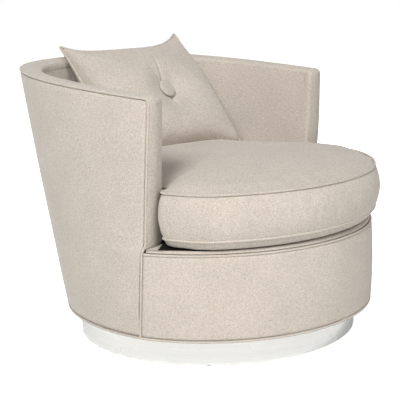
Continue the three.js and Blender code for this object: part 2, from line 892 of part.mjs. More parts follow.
function buildSprings() {
  for (let i = 0; i < springCount; i++) {
    const x = (i - (springCount - 1) / 2) * springPitch;
    const line = springLine(x);
    const tangents = line.map((_, k) => {
      const before = line[Math.max(k - 1, 0)];
      const after = line[Math.min(k + 1, line.length - 1)];
      return after.clone().sub(before).normalize();
    });
    const sideways = tangents.map((t) => new THREE.Vector3().crossVectors(t, up).normalize());
    const upwards = tangents.map((t, k) => new THREE.Vector3().crossVectors(sideways[k], t).normalize());
    add(`seat_spring_${i + 1}`, cord(line, sideways, upwards, springWireRadius, false), springSteel());
  }
}

// Depth of the cloth lip behind the apron welt: full at the front, narrow beside the arms.
function lipInnerInset(angle) {
  const place = Math.abs(angle) / apronCircle(apronTop).endAngle;
  const share = (lipEndShare - place) / (lipEndShare - lipFullShare);
  return lerp(lipEndDepth + frameOuter, lipDepth, Math.sin((clamp(share, 0, 1) * Math.PI) / 2));
}

function buildDeck() {
  const low = seatRailTop + gap;
  const deckLow = deckTop - deckThickness;
  const noseLow = apronTop + weltRadius + gap;
  const lipEnd = lipEndShare * apronCircle(apronTop).endAngle;
  const rings = evenShares(apronSteps).map((place) => {
    const angle = place * lipEnd;
    const back = lipInnerInset(angle);
    const foot = lerp(frameOuter, back, lipFootShare);
    const at = (inset, z) => apronPoint(angle, z, inset);
    return [
      at(frameOuter, low),
      at(frameOuter, noseLow),
      at(lipNoseInset, noseLow + gap),
      at(frameOuter, deckTop - gap),
      at(lerp(frameOuter, back, lipCrestShare), deckTop),
      at(back - lipRounding / 2, deckTop - gap),
      at(back, deckTop - lipRounding),
      at(back, deckLow),
      at(foot, deckLow),
      at(foot, low),
    ];
  });
  add("deck_lip", loft(rings), fabric());

  const front = evenShares(apronSteps).map((place) => {
    const angle = place * lipEnd;
    return apronPoint(angle, deckLow, lipInnerInset(angle) + gap);
  });
  const wall = wallPlaces.map((place) => wallPoint(place, deckLow, deckWallInset)).reverse();
  const frontClear = armFrontY(deckTop) - gap;
  const wing = front[front.length - 1].x;
  const innerX = wall[0].x - gap;
  wall[0].y = frontClear;
  wall[wall.length - 1].y = frontClear;
  const outline = [
    ...front,
    new THREE.Vector3(wing, frontClear, deckLow),
    ...wall.map((p) => (Math.abs(p.x) > innerX ? p.clone().setX(Math.sign(p.x) * innerX) : p)),
    new THREE.Vector3(-wing, frontClear, deckLow),
  ];
  add("deck_pad", extrudedSheet(outlineShape(outline), deckLow, deckTop), deckingCloth());
}

// Covers and welts of the body

function buildCovers() {
  const coverLow = bodyBottom + 2 * weltRadius + gap;
  const coverTopDrop = 2 * weltRadius + 2 * gap;
  add("shell_outer_cover", wallSlab({
    outer: 0,
    inner: coverThickness,
    low: () => coverLow,
    high: (place, inset) =>
      wallTopZ(place, inset, coverTopDrop + topDrop(place) - underBoxing, coverTopDrop),
    rows: wallRows,
    frontGap: coverTopDrop,
  }), fabric());

  add("inner_back_pad", wallSlab({
    outer: railOuter,
    inner: innerInset,
    low: () => deckTop + gap,
    high: (place, inset) => wallTopZ(place, inset, topDrop(place), layerFrontGap),
    rows: wallRows,
    frontGap: layerFrontGap,
  }), fabric());

  const apronHigh = apronTop - weltRadius - gap;
  const sideClear = (z) => {
    const { radius, endAngle } = apronCircle(z);
    return endAngle - (2 * gap + coverThickness * Math.cos(endAngle)) / radius;
  };
  add("front_apron", apronSlab({
    angle: sideClear,
    outer: 0,
    inner: coverThickness,
    low: coverLow,
    high: apronHigh,
    rows: wallRows,
  }), fabric());
}

function buildRimTrim() {
  const bandOuter = 2 * weltRadius + gap;
  const bandLow = deckTop + gap;
  const band = rimSweep(rimStations(bandLow, boxingRows), (z) => {
    const inner = innerInset(z);
    const middle = (bandOuter + inner) / 2;
    const soft = boxingThickness / 2;
    return [
      [bandOuter, 0],
      [middle, 0],
      [inner - soft, 0],
      [inner, soft],
      [inner, boxingThickness],
      [inner - soft, boxingThickness],
      [middle, boxingThickness],
      [bandOuter, boxingThickness],
    ];
  });
  add("boxing_band", band, fabric());

  const weltLow = bodyBottom + 2 * weltRadius + gap;
  const section = () =>
    Array.from({ length: cordSides }, (_, k) => {
      const angle = ((k + 0.5) / cordSides) * 2 * Math.PI;
      return [weltRadius + weltRadius * Math.cos(angle), weltRadius + weltRadius * Math.sin(angle)];
    });
  add("rim_welt", rimSweep(rimStations(weltLow, rimWeltRows), section), fabric());
}

function buildApronWelts() {
  const { radius, endAngle } = apronCircle(apronTop);
  const end = endAngle - (weltRadius + gap) / radius;
  const line = evenShares(apronSteps).map((place) => apronPoint(place * end, apronTop, weltRadius));
  const outwards = evenShares(apronSteps).map(
    (place) => new THREE.Vector3(Math.sin(place * end), -Math.cos(place * end), 0),
  );
  add("apron_top_welt", cord(line, outwards, line.map(() => up), weltRadius, false), fabric());

  const loop = bodyOutline(bodyBottom + weltRadius, weltRadius);
  add("bottom_welt", cord(loop, planNormals(loop), loop.map(() => up), weltRadius, true), fabric());
}

// Seat cushion

// Closed outline of the cushion's welts, from the left ear round the front and back again.
function cushionOutline() {
  const middleZ = (cushionTopWeltZ + cushionBottomWeltZ) / 2;
  const sideInset = innerInset(middleZ) + cushionSwell + cushionSideClearance;
  const arcEnd = radians(cushionArcDegrees);
  const front = evenShares(cushionFrontSteps).map((place) => {
    const angle = place * arcEnd;
    const y = cushionFrontCentreY - cushionFrontRadius * Math.cos(angle);
    return [cushionFrontRadius * Math.sin(angle), y];
  });
  const cornerX = earHalfWidth - earCornerRadius;
  const cornerY = earBackY - earCornerRadius;
  // The arc runs on into the side of the ear through the point where their tangents meet.
  const [arcX, arcY] = front[front.length - 1];
  const tangentY = arcY + (earHalfWidth - arcX) * Math.tan(arcEnd);
  const side = new THREE.QuadraticBezierCurve(
    new THREE.Vector2(arcX, arcY),
    new THREE.Vector2(earHalfWidth, tangentY),
    new THREE.Vector2(earHalfWidth, cornerY),
  );
  const shoulder = side.getPoints(cushionCornerSteps + 1).slice(1, -1).map((p) => [p.x, p.y]);
  const ear = evenShares(cushionCornerSteps, 0, 1).map((share) => {
    const [x, y] = circlePoint(earCornerRadius, (share * Math.PI) / 2);
    return [cornerX + x, cornerY + y];
  });
  const reach = 1 - straightShare / 2;
  const back = evenShares(cushionBackSteps, reach, -reach).map((place) => {
    const p = wallPoint(place, middleZ, sideInset);
    return [p.x, p.y];
  });
  const throat = [back[0][0], earBackY];
  const rightSide = [...shoulder, ...ear, throat];
  const leftSide = rightSide.map(([x, y]) => [-x, y]).reverse();
  const loop = [...front, ...rightSide, ...back, ...leftSide];
  return loop.map(([x, y]) => new THREE.Vector3(x, y, 0));
}

function buildCushion() {
  const outline = cushionOutline();
  const normals = planNormals(outline);
  const grown = (grow, z) => outline.map((p, i) => p.clone().addScaledVector(normals[i], grow).setZ(z));
  const inset = -cushionWeltInset;
  const shrunk = (share, z) =>
    grown(inset, z).map((p) => p.setX(p.x * share).setY(lerp(cushionCentreY, p.y, share)));
  const crownAt = (share) => 1 - share ** cushionCrownPower;
  const bottomDrop = cushionBottomWeltZ - (deckTop + cushionSagClearance);
  const height = cushionTopWeltZ - cushionBottomWeltZ;
  const sole = cushionSoleShares.map(([share, drop]) =>
    shrunk(share, cushionBottomWeltZ - bottomDrop * drop),
  );
  const boxing = cushionSwellShares.map(([rise, swell]) =>
    grown(cushionSwell * swell, cushionBottomWeltZ + height * rise),
  );
  const crown = cushionCrownShares.map((share) =>
    shrunk(share, cushionTopWeltZ + cushionCrown * crownAt(share)),
  );
  const rings = [
    ...sole,
    grown(inset, cushionBottomWeltZ),
    ...boxing,
    grown(inset, cushionTopWeltZ),
    ...crown.reverse(),
  ];
  const pole = (z) => new THREE.Vector3(0, cushionCentreY, z);
  const bottomPole = pole(cushionBottomWeltZ - bottomDrop);
  const topPole = pole(cushionTopWeltZ + cushionCrown);
  add("seat_cushion", closedStack(rings, bottomPole, topPole), fabric());

  for (const [name, z] of [["top", cushionTopWeltZ], ["bottom", cushionBottomWeltZ]]) {
    const line = grown(0, z);
    add(`cushion_${name}_welt`, cord(line, normals, line.map(() => up), weltRadius, true), fabric());
  }
}

// Throw pillow, in its own frame: x across, z up along it, -y its face

// Seam outline: a and b run from -1 to 1; the middle of each edge is drawn in and the corners stay out.
function pillowSeam(a, b, grow) {
  const half = pillowSize / 2 + grow;
  const hollow = (along) => 1 - pillowHollowShare * (1 - Math.abs(along) ** pillowEarPower);
  return [half * a * hollow(b), half * b * hollow(a)];
}

const buttonPlace = pillowSeam(...buttonPlaceShares, 0);

function pillowHeight(a, b, swell) {
  const [x, z] = pillowSeam(a, b, 0);
  const reach = Math.hypot(x - buttonPlace[0], z - buttonPlace[1]);
  const tuft = tuftDepth * Math.exp(-(reach ** 2) / (2 * tuftSpread ** 2));
  return (swell - tuft) * Math.max(0, (1 - a * a) * (1 - b * b)) ** pillowEdgePower;
}

// Places of the grid's lines, drawn to one side so that the middle line runs under the button.
function pillowPlaces(middle) {
  return evenShares(pillowSteps).map((p) => p + middle * (1 - p * p));
}

function pillowBody() {
  const [across, along] = buttonPlaceShares.map(pillowPlaces);
  const points = [];
  const keys = new Map();
  const vertex = (i, j, side) => {
    const border = i === 0 || j === 0 || i === pillowSteps || j === pillowSteps;
    const key = `${i},${j},${border ? 0 : side}`;
    if (!keys.has(key)) {
      const [x, z] = pillowSeam(across[i], along[j], 0);
      const swell = side < 0 ? pillowFrontSwell : pillowBackSwell;
      keys.set(key, points.length);
      points.push(new THREE.Vector3(x, border ? 0 : side * pillowHeight(across[i], along[j], swell), z));
    }
    return keys.get(key);
  };
  const triangles = [];
  for (const side of [-1, 1]) {
    for (let i = 0; i < pillowSteps; i++) {
      for (let j = 0; j < pillowSteps; j++) {
        const corners = [vertex(i, j, side), vertex(i + 1, j, side), vertex(i + 1, j + 1, side),
          vertex(i, j + 1, side)];
        const turn = side < 0 ? corners : [...corners].reverse();
        const flip = i < pillowSteps / 2 === j < pillowSteps / 2;
        const [a, b, c, d] = flip ? turn : [turn[1], turn[2], turn[3], turn[0]];
        triangles.push(a, b, c, a, c, d);
      }
    }
  }
  return indexedGeometry(points, triangles);
}

function pillowWeltLine() {
  const grow = pillowWeltRadius + 2 * gap;
  const [across, along] = buttonPlaceShares.map(pillowPlaces);
  const sides = [
    across.map((a) => [a, -1]),
    along.map((b) => [1, b]),
    across.map((a) => [a, 1]).reverse(),
    along.map((b) => [-1, b]).reverse(),
  ];
  return sides.flatMap((side) => side.slice(0, -1)).map(([a, b]) => {
    const [x, z] = pillowSeam(a, b, grow);
    return new THREE.Vector3(x, 0, z);
  });
}

function buttonGeometry(swell, side) {
  const seat = pillowHeight(...buttonPlaceShares, swell) + gap;
  const at = (r, h) => new THREE.Vector2(r, seat + h);
  const profile = [
    at(0, 0),
    at(buttonRadius, buttonRimHeight),
    ...buttonDomeShares.map(([reach, rise]) =>
      at(buttonRadius * reach, lerp(buttonRimHeight, buttonHeight, rise)),
    ),
    at(0, buttonHeight),
  ];
  const geometry = new THREE.LatheGeometry(profile, buttonSteps);
  if (side < 0) geometry.rotateZ(Math.PI);
  geometry.translate(buttonPlace[0], 0, buttonPlace[1]);
  geometry.deleteAttribute("uv");
  return facingOut(dropCollapsed(geometry));
}

function buildPillow() {
  const yawed = new THREE.Group();
  const pillowX = pillowSideShare * topHalfWidth;
  yawed.position.set(pillowX, topBackY - pillowToBack, armTop - pillowUnderArmTop);
  yawed.rotation.z = radians(pillowYawDegrees);
  const leaned = new THREE.Group();
  leaned.rotation.x = -radians(pillowLeanDegrees);
  yawed.add(leaned);
  chair.add(yawed);

  add("throw_pillow", pillowBody(), fabric(), leaned);
  const line = pillowWeltLine();
  const flat = line.map((p) => new THREE.Vector3(p.x, p.z, 0));
  const outwards = planNormals(flat).map((n) => new THREE.Vector3(n.x, 0, n.y));
  const across = new THREE.Vector3(0, 1, 0);
  const welt = cord(line, outwards, line.map(() => across), pillowWeltRadius, true);
  add("pillow_welt", welt, fabric(), leaned);
  add("pillow_button_front", buttonGeometry(pillowFrontSwell, -1), fabric(), leaned);
  add("pillow_button_back", buttonGeometry(pillowBackSwell, 1), fabric(), leaned);
}

buildPlinth();
buildSwivel();
buildBottomRing();
buildCrossRails();
buildPosts();
buildSeatRails();
buildSprings();
buildDeck();
buildCovers();
buildRimTrim();
buildApronWelts();
buildCushion();
buildPillow();

const placed = new THREE.Group();
placed.add(chair);
chair.position.y = -axisToMiddle;

export default placed;
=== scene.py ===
"""Swivel barrel chair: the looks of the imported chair, laid out as an add-on and run as a script."""
import json
import math

import bmesh
import bpy
import numpy as np
from bpy.props import FloatProperty, FloatVectorProperty, IntProperty, PointerProperty
from mathutils import Matrix, Vector, kdtree, noise


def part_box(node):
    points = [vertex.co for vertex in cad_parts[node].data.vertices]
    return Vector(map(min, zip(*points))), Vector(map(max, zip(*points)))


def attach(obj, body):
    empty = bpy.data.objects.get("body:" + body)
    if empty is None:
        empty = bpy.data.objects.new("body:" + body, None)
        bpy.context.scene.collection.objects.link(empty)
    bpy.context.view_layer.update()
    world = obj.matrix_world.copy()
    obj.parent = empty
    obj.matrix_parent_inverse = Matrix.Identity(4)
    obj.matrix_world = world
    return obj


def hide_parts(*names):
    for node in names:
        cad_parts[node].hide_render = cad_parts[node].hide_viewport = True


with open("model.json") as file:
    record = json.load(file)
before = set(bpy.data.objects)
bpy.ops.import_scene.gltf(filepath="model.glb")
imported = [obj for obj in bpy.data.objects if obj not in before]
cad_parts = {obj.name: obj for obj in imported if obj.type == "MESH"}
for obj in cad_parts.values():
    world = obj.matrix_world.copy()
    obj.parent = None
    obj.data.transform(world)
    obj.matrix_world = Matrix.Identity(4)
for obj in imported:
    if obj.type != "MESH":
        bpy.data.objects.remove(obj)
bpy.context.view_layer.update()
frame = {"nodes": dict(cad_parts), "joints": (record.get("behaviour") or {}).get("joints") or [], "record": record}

bl_info = {
    "name": "Swivel Barrel Chair",
    "version": (1, 0, 0),
    "blender": (4, 5, 0),
    "location": "View3D > Sidebar > Barrel Chair",
    "description": "Builds an upholstered swivel barrel chair around its packed frame",
    "category": "Object",
}

# Sizes of the chair's master shapes, in millimetres about the swivel axis. Where a soft part gives, they
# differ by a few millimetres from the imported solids. Insets are measured in from the body's outer face.
GAP = 0.3
SWIVEL_Y = frame["joints"][0]["pos_m"][1] * 1000
AXIS_SHIFT = np.array([0.0, SWIVEL_Y, 0.0])

PLINTH_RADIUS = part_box("plinth_band")[1].x * 1000
PLINTH_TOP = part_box("plinth_band")[1].z * 1000
PLINTH_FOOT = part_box("plinth_band")[0].z * 1000

BODY_BOTTOM = 70
ARM_TOP = 640
BACK_TOP = 696
BOTTOM_EDGE = {"half": 399, "widest": -46.7, "back": 404.3, "front": -49, "square": 2}
TOP_EDGE = {"half": 407, "widest": -63, "back": 482.6, "front": -99.5, "square": 2.72}
TOP_SLOPE = (BACK_TOP - ARM_TOP) / (TOP_EDGE["back"] - TOP_EDGE["front"])
WALL_BOW = 2

# Padded arms: their swell, and how far their fronts stand out and are drawn in over the apron
ARM_SWELL = 6.5
ARM_SWELL_FORWARD = 4
ARM_STEP = 4
ARM_NARROW = (8.5, 5.5)
OVER_DECK = 12

# Shares of the wall's places: the straight end of each arm, and the curved rest
STRAIGHT = 0.06
WALL_REACH = 1 - STRAIGHT
NORMAL_STEP = 0.015

APRON_TOP = 279
APRON_BOTTOM_Y = -405
APRON_TOP_Y = -408
APRON_BOW = 4

# Lengths along the wall and the apron from their middle to an end, and how far from a seam the outside cloth
# reaches its full unevenness
WALL_RUN = 900
APRON_RUN = 520
SEAM_CALM = 40

COVER_THICKNESS = 8
COVER_REST = 0.35
FRAME_OUTER = 9

# The inside padding: insets of its back and its face, its drop under the rim, and where it comes into sight
# over the cushion
PAD_BACK = 24
PAD_AT_SEAT = 72
PAD_AT_TOP = 57
PAD_DROP = 8
PAD_HIDDEN_TO = 455
PAD_FULL_FROM = 515

WELT = 3
RIM_CORNER = 12
RIM_SLIT = 0.6
SEAT_RAIL_TOP = 270
DECK_TOP = 289
DECK_LOW = 277
DECK_MIDDLE = (0, 20)

# The cloth lip behind the apron's welt: insets of its back edge, at shares of the apron's end angle
LIP_DEPTH = 58
LIP_THROAT_DEPTH = 17
LIP_END_DEPTH = 9.5
LIP_END = 0.99
LIP_TURN = 0.94
LIP_THROAT = 0.83
LIP_FULL = (0.64, 0.76)
LEDGE_INNER = 74
LEDGE_END = 0.996

DUST_LEVEL = 72
DUST_HOLE = 166
DUST_THICKNESS = 0.5

# Circles of the copied parts, and the heights that the swivel's parts stand at
GLIDE_CIRCLE = 344.5
BALL_CIRCLE = 90
SCREW_CIRCLE = 130
BALL_Z = 76.5

# The seat cushion: its welts, the arc of its front, and the ears in front of the arms
BOTTOM_WELT_Z = 315
TOP_WELT_Z = 422
CUSHION_RADIUS = 434
CUSHION_FRONT_Y = 20
CUSHION_CENTRE_Y = -40
CUSHION_ARC = math.radians(54)
CUSHION_WELT_INSET = -0.4
CUSHION_SIDE_ROOM = 17.4
CUSHION_WALL_Y = -60
EAR_HALF = 378
EAR_BACK_Y = -100
EAR_CORNER = 20

# The pillow: the hollows of its left and right and of its lower and upper edges, its ears, the powers that
# round its panels off towards their edges, and its button
PILLOW_SIZE = 396
PILLOW_CENTRE = (70.2, 254.8, 587.7)
PILLOW_YAW = -18
PILLOW_LEAN = 44
PILLOW_SIDE_HOLLOWS = (0.075, -0.02)
PILLOW_END_HOLLOWS = (0.115, 0.165)
PILLOW_SIDE_POWER = 4
PILLOW_END_POWER = 4.5
PILLOW_BLUNT = 0.02
PILLOW_LOWER_EAR = 14
PILLOW_EDGE_POWER = 0.34
PILLOW_TOP_POWER = 0.62
PILLOW_BACK_POWERS = (0.26, 0.36)
PILLOW_WELT = 3.1
TUFT_SPREAD = 36
GROOVE_DEPTH = 3
GROOVE_WIDTH = 5
BUTTON_SHARES = (0.095, -0.152)
BUTTON_SLOPE = (-0.264, 0.109)
BUTTON_SLOPE_SPREAD = 48

# Pull creases that run out from the button: direction, width, depth and length
CREASES = ((1.49, 4.5, 6.0, 92), (-1.3, 5.0, 8.0, 56), (2.95, 20.0, 3.0, 60), (1.95, 6.0, 2.0, 60),
           (0.2, 9.0, 1.5, 50))

CLOTH_RULES = {"quality": 6, "mass": 0.25, "tension_stiffness": 12, "compression_stiffness": 8,
               "shear_stiffness": 4, "bending_stiffness": 0.6, "use_pressure": True}

# The photograph's camera, solved about the swivel axis
CAMERA_PLACE = (-2342.53, -1580.07, 892.86)
CAMERA_RIGHT = (0.5543, -0.8318, -0.0289)
CAMERA_UP = (0.1738, 0.0817, 0.9814)
CAMERA_BACK = (-0.8140, -0.5490, 0.1898)
CAMERA_LENS = 99.03
CAMERA_SHIFT = (-0.0356, -0.0176)

# In metres: half the studio floor's width, and the point that the lights are turned to
FLOOR_HALF = 14
LIGHT_AIM = (0, 0, 0.35)


# Small helpers

def linear(hex_colour):
    """Linear RGBA of an sRGB hex colour."""
    values = [int(hex_colour[i:i + 2], 16) / 255 for i in (1, 3, 5)]
    return [v / 12.92 if v <= 0.04045 else ((v + 0.055) / 1.055) ** 2.4 for v in values] + [1.0]


def lerp(a, b, t):
    return a + (b - a) * t


def share_of(value, low, high):
    """How far a value is on its way from low to high, from 0 to 1."""
    return np.clip((value - low) / (high - low), 0, 1)


def metres(points):
    """Points drawn in millimetres about the swivel axis, in the frame's metres."""
    return (np.asarray(points, float) + AXIS_SHIFT) / 1000


def unit(vectors):
    return vectors / np.maximum(np.linalg.norm(vectors, axis=-1, keepdims=True), 1e-9)


def soft_noise(points, size, seed=0.0):
    """Smooth noise from -1 to 1 at points in millimetres, with lumps of about the given size."""
    offset = Vector((seed * 17.3, seed * 9.1, seed * 5.7))
    return np.array([noise.noise(Vector(p) / size + offset) for p in points])


def uneven(points, size, seed, amount):
    """Soft unevenness of padded cloth over a grid of points, in millimetres."""
    return soft_noise(points.reshape(-1, 3), size, seed).reshape(points.shape[:-1]) * amount


def roll_in(distance, depth, reach):
    """How far cloth turns in beside a seam, at a distance from it."""
    return depth * np.exp(-np.maximum(distance, 0) / reach)


def add_object(name, data):
    made = bpy.data.objects.new(name, data)
    bpy.context.scene.collection.objects.link(made)
    return made


def add_mesh(name, points, faces):
    """A finished object from points in millimetres about the swivel axis."""
    mesh = bpy.data.meshes.new(name)
    mesh.from_pydata([tuple(p) for p in metres(points)], [], faces)
    mesh.validate()
    mesh.update()
    tool = bmesh.new()
    tool.from_mesh(mesh)
    bmesh.ops.remove_doubles(tool, verts=tool.verts, dist=1e-6)
    bmesh.ops.recalc_face_normals(tool, faces=tool.faces)
    tool.to_mesh(mesh)
    tool.free()
    mesh.shade_smooth()
    return add_object(name, mesh)


def skin(rings, closed_rows=False, closed_sections=True):
    """Faces over a grid of rings (rows x columns x 3), with flat caps where the rows are open."""
    rows, columns = rings.shape[:2]
    at = np.arange(rows * columns).reshape(rows, columns)
    faces = []
    row_count = rows if closed_rows else rows - 1
    column_count = columns if closed_sections else columns - 1
    for r in range(row_count):
        here, following = at[r], at[(r + 1) % rows]
        for c in range(column_count):
            d = (c + 1) % columns
            faces.append((here[c], here[d], following[d], following[c]))
    if closed_sections and not closed_rows:
        faces.append(tuple(at[0][::-1]))
        faces.append(tuple(at[-1]))
    return rings.reshape(-1, 3), [tuple(int(i) for i in f) for f in faces]


def dome_stack(rings, first_pole, last_pole):
    """Faces over rings that close in a pole at both ends."""
    rows, columns = rings.shape[:2]
    points, faces = skin(rings)
    faces = faces[:-2]
    points = np.vstack([points, first_pole, last_pole])
    low, high = len(points) - 2, len(points) - 1
    last = (rows - 1) * columns
    for c in range(columns):
        d = (c + 1) % columns
        faces.append((low, d, c))
        faces.append((high, last + c, last + d))
    return points, faces


def revolve(profile, steps):
    """Sections of a profile of radii and heights, turned about the upright axis."""
    turns = np.linspace(0, 2 * math.pi, steps, endpoint=False)
    return np.array([[(r * math.cos(t), r * math.sin(t), z) for r, z in profile] for t in turns])


def layers(middle, loop, levels):
    """Rings of a closed loop: each is drawn towards the middle by its share, at its own height."""
    rings = []
    for share, z in levels:
        ring = lerp(middle, loop, share)
        ring[:, 2] = z
        rings.append(ring)
    return np.array(rings)


def joined(*parts):
    """One set of points and faces from several."""
    points, faces = [], []
    for more, more_faces in parts:
        faces += [tuple(i + len(points) for i in face) for face in more_faces]
        points += list(more)
    return np.array(points), faces


def mesh_vectors(obj, key="co"):
    """The points of an object's mesh, or their normals."""
    values = np.empty(len(obj.data.vertices) * 3)
    obj.data.vertices.foreach_get(key, values)
    return values.reshape(-1, 3)


def push_out(obj, shift):
    """Moves an object's points along their normals, by millimetres."""
    points = mesh_vectors(obj) + mesh_vectors(obj, "normal") * (shift / 1000)[:, None]
    obj.data.vertices.foreach_set("co", points.ravel())
    obj.data.update()


def bake(obj):
    """Turns what an object's modifiers make into its own plain mesh."""
    graph = bpy.context.evaluated_depsgraph_get()
    graph.update()
    made = bpy.data.meshes.new_from_object(obj.evaluated_get(graph))
    obj.modifiers.clear()
    old = obj.data
    obj.data = made
    if old.users == 0:
        bpy.data.meshes.remove(old)
    return obj


def finish_piece(obj, slot, replaced=(), body="seat"):
    """Gives a piece its material, hangs it on the empty of the body that it rides on, and hides the imported parts
    that it stands for.
    """
    obj.data.materials.clear()
    obj.data.materials.append(material(slot))
    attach(obj, body)
    if replaced:
        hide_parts(*replaced)
    return obj


# Master surfaces of the body

def edge_point(edge, place, front_gap=0.0):
    """Plan position on an edge of the wall; place runs from -1 at the left arm front to 1 at the right."""
    place = np.asarray(place, float)
    side, reach = np.sign(place), np.abs(place)
    angle = np.minimum(reach / WALL_REACH, 1) * math.pi / 2
    power = 2 / edge["square"]
    x = side * edge["half"] * np.sin(angle) ** power
    y = edge["widest"] + (edge["back"] - edge["widest"]) * np.maximum(np.cos(angle), 0) ** power
    past = reach > WALL_REACH
    ahead = lerp(edge["widest"], edge["front"] + front_gap, (reach - WALL_REACH) / STRAIGHT)
    return np.where(past, side * edge["half"], x), np.where(past, ahead, y)


def top_plane(y):
    return ARM_TOP + TOP_SLOPE * (y - TOP_EDGE["front"])


def wall_outer(place, z, front_gap):
    bottom_x, bottom_y = edge_point(BOTTOM_EDGE, place, front_gap)
    top_x, top_y = edge_point(TOP_EDGE, place, front_gap)
    share = (z - BODY_BOTTOM) / (top_plane(top_y) - BODY_BOTTOM)
    return lerp(bottom_x, top_x, share), lerp(bottom_y, top_y, share), share


def wall_point(place, z, inset, front_gap=0.0):
    """Points of the barrel wall at heights z, set in from its outer face."""
    place, z, inset = np.broadcast_arrays(np.asarray(place, float), np.asarray(z, float), inset)
    x, y, share = wall_outer(place, z, front_gap)
    before = wall_outer(np.maximum(place - NORMAL_STEP, -WALL_REACH), z, front_gap)
    after = wall_outer(np.minimum(place + NORMAL_STEP, WALL_REACH), z, front_gap)
    across = unit(np.stack([before[1] - after[1], after[0] - before[0]], axis=-1))
    flat = np.abs(place) >= WALL_REACH
    normal_x = np.where(flat, np.sign(place), across[..., 0])
    normal_y = np.where(flat, 0.0, across[..., 1])
    arm = ARM_SWELL * arm_swell(z) - arm_narrow(z)
    out = WALL_BOW * np.sin(math.pi * np.clip(share, 0, 1)) + arm * np.abs(place) ** 8 - inset
    forward = arm_forward(z) * np.maximum(0, (np.abs(place) - WALL_REACH) / STRAIGHT)
    return np.stack([x + normal_x * out, y + normal_y * out - forward, z], axis=-1)


def arm_swell(z):
    """The padded arms swell between the seat and their top edge: a share of the whole swell."""
    share = share_of(z, SEAT_RAIL_TOP, ARM_TOP)
    return np.maximum(np.sin(math.pi * share), 0) ** 1.4


def arm_forward(z):
    """How far the padded arm fronts stand out over the apron's line."""
    return ARM_SWELL_FORWARD * arm_swell(z) + ARM_STEP * over_apron(z)


def arm_narrow(z):
    """How far the barrel is drawn in at the arm fronts, over the apron."""
    return lerp(*ARM_NARROW, share_of(z, DECK_TOP, ARM_TOP)) * over_apron(z)


def over_apron(z):
    """0 up to the apron's top, rising softly to 1 a little over the deck."""
    rise = share_of(z, APRON_TOP, DECK_TOP + OVER_DECK)
    return rise * rise * (3 - 2 * rise)


def inner_inset(z):
    return lerp(PAD_AT_SEAT, PAD_AT_TOP, (z - SEAT_RAIL_TOP) / (ARM_TOP - SEAT_RAIL_TOP))


def wall_top(place, inset, drop, front_gap=0.0):
    """Height of the top plane over the wall at each place and inset, less a drop."""
    outer_y = edge_point(TOP_EDGE, place, front_gap)[1]
    return top_plane(wall_point(place, top_plane(outer_y), inset, front_gap)[..., 1]) - drop


def arm_front(z):
    straight = lerp(BOTTOM_EDGE["front"], TOP_EDGE["front"], (z - BODY_BOTTOM) / (ARM_TOP - BODY_BOTTOM))
    return straight - arm_forward(z)


def wall_half(z):
    share = (z - BODY_BOTTOM) / (ARM_TOP - BODY_BOTTOM)
    bow = WALL_BOW * np.sin(math.pi * np.clip(share, 0, 1)) + ARM_SWELL * arm_swell(z) - arm_narrow(z)
    return lerp(BOTTOM_EDGE["half"], TOP_EDGE["half"], share) + bow


def apron_circle(z):
    """Radius, centre depth and end angle of the apron's plan circle at height z."""
    share = (np.asarray(z, float) - BODY_BOTTOM) / (APRON_TOP - BODY_BOTTOM)
    half = wall_half(z)
    bow = APRON_BOW * np.sin(math.pi * np.clip(share, 0, 1))
    front = lerp(APRON_BOTTOM_Y, APRON_TOP_Y, share) - bow
    rise = arm_front(z) - front
    radius = (half ** 2 + rise ** 2) / (2 * rise)
    return radius, front + radius, np.arcsin(half / radius)


def apron_point(angle, z, inset):
    angle, z, inset = np.broadcast_arrays(np.asarray(angle, float), np.asarray(z, float), inset)
    radius, centre, _ = apron_circle(z)
    reach = radius - inset
    return np.stack([reach * np.sin(angle), centre - reach * np.cos(angle), z], axis=-1)


def apron_end(z):
    return float(apron_circle(z)[2])


def even_places(count, low=-1.0, high=1.0, z=480.0):
    """Places of the wall that are evenly far apart along it."""
    dense = np.linspace(low, high, 4001)
    line = wall_point(dense, z, 0.0)
    run = np.concatenate([[0], np.cumsum(np.linalg.norm(np.diff(line, axis=0), axis=1))])
    return np.interp(np.linspace(0, run[-1], count), run, dense)


def even_line(points, count, closed=False):
    """The same line with evenly spaced points."""
    points = np.asarray(points, float)
    if closed:
        points = np.vstack([points, points[:1]])
    run = np.concatenate([[0], np.cumsum(np.linalg.norm(np.diff(points, axis=0), axis=1))])
    at = np.linspace(0, run[-1], count + 1)[:-1] if closed else np.linspace(0, run[-1], count)
    return np.stack([np.interp(at, run, points[:, k]) for k in range(3)], axis=-1)


def soften(line, rounds=1):
    """Evens out a closed line over its neighbours."""
    for _ in range(rounds):
        line = (np.roll(line, 1, axis=0) + 2 * line + np.roll(line, -1, axis=0)) / 4
    return line


def plan_normals(line):
    """Outward plan directions along a closed line."""
    x, y = line[:, 0], line[:, 1]
    turn = np.sign(np.sum(x * np.roll(y, -1) - np.roll(x, -1) * y))
    step = np.roll(line, -1, axis=0) - np.roll(line, 1, axis=0)
    return unit(np.stack([turn * step[:, 1], -turn * step[:, 0], np.zeros(len(line))], axis=-1))


# Materials

def add_node(tree, kind, inputs=None, **settings):
    """One shader or geometry node with its settings; an input is a value, or another node's socket."""
    made = tree.nodes.new(kind)
    for key, value in settings.items():
        setattr(made, key, value)
    for key, value in (inputs or {}).items():
        if isinstance(value, bpy.types.NodeSocket):
            tree.links.new(value, made.inputs[key])
        else:
            made.inputs[key].default_value = value
    return made


def new_material(name, **sockets):
    """A material with its tree, its Principled shader and the Object coordinates; constant values are set on
    the shader's own sockets."""
    made = bpy.data.materials.new(name)
    made.use_nodes = True
    tree = made.node_tree
    shader = tree.nodes["Principled BSDF"]
    for key, value in sockets.items():
        shader.inputs[key.replace("_", " ")].default_value = value
    return made, tree, shader, add_node(tree, "ShaderNodeTexCoord").outputs["Object"]


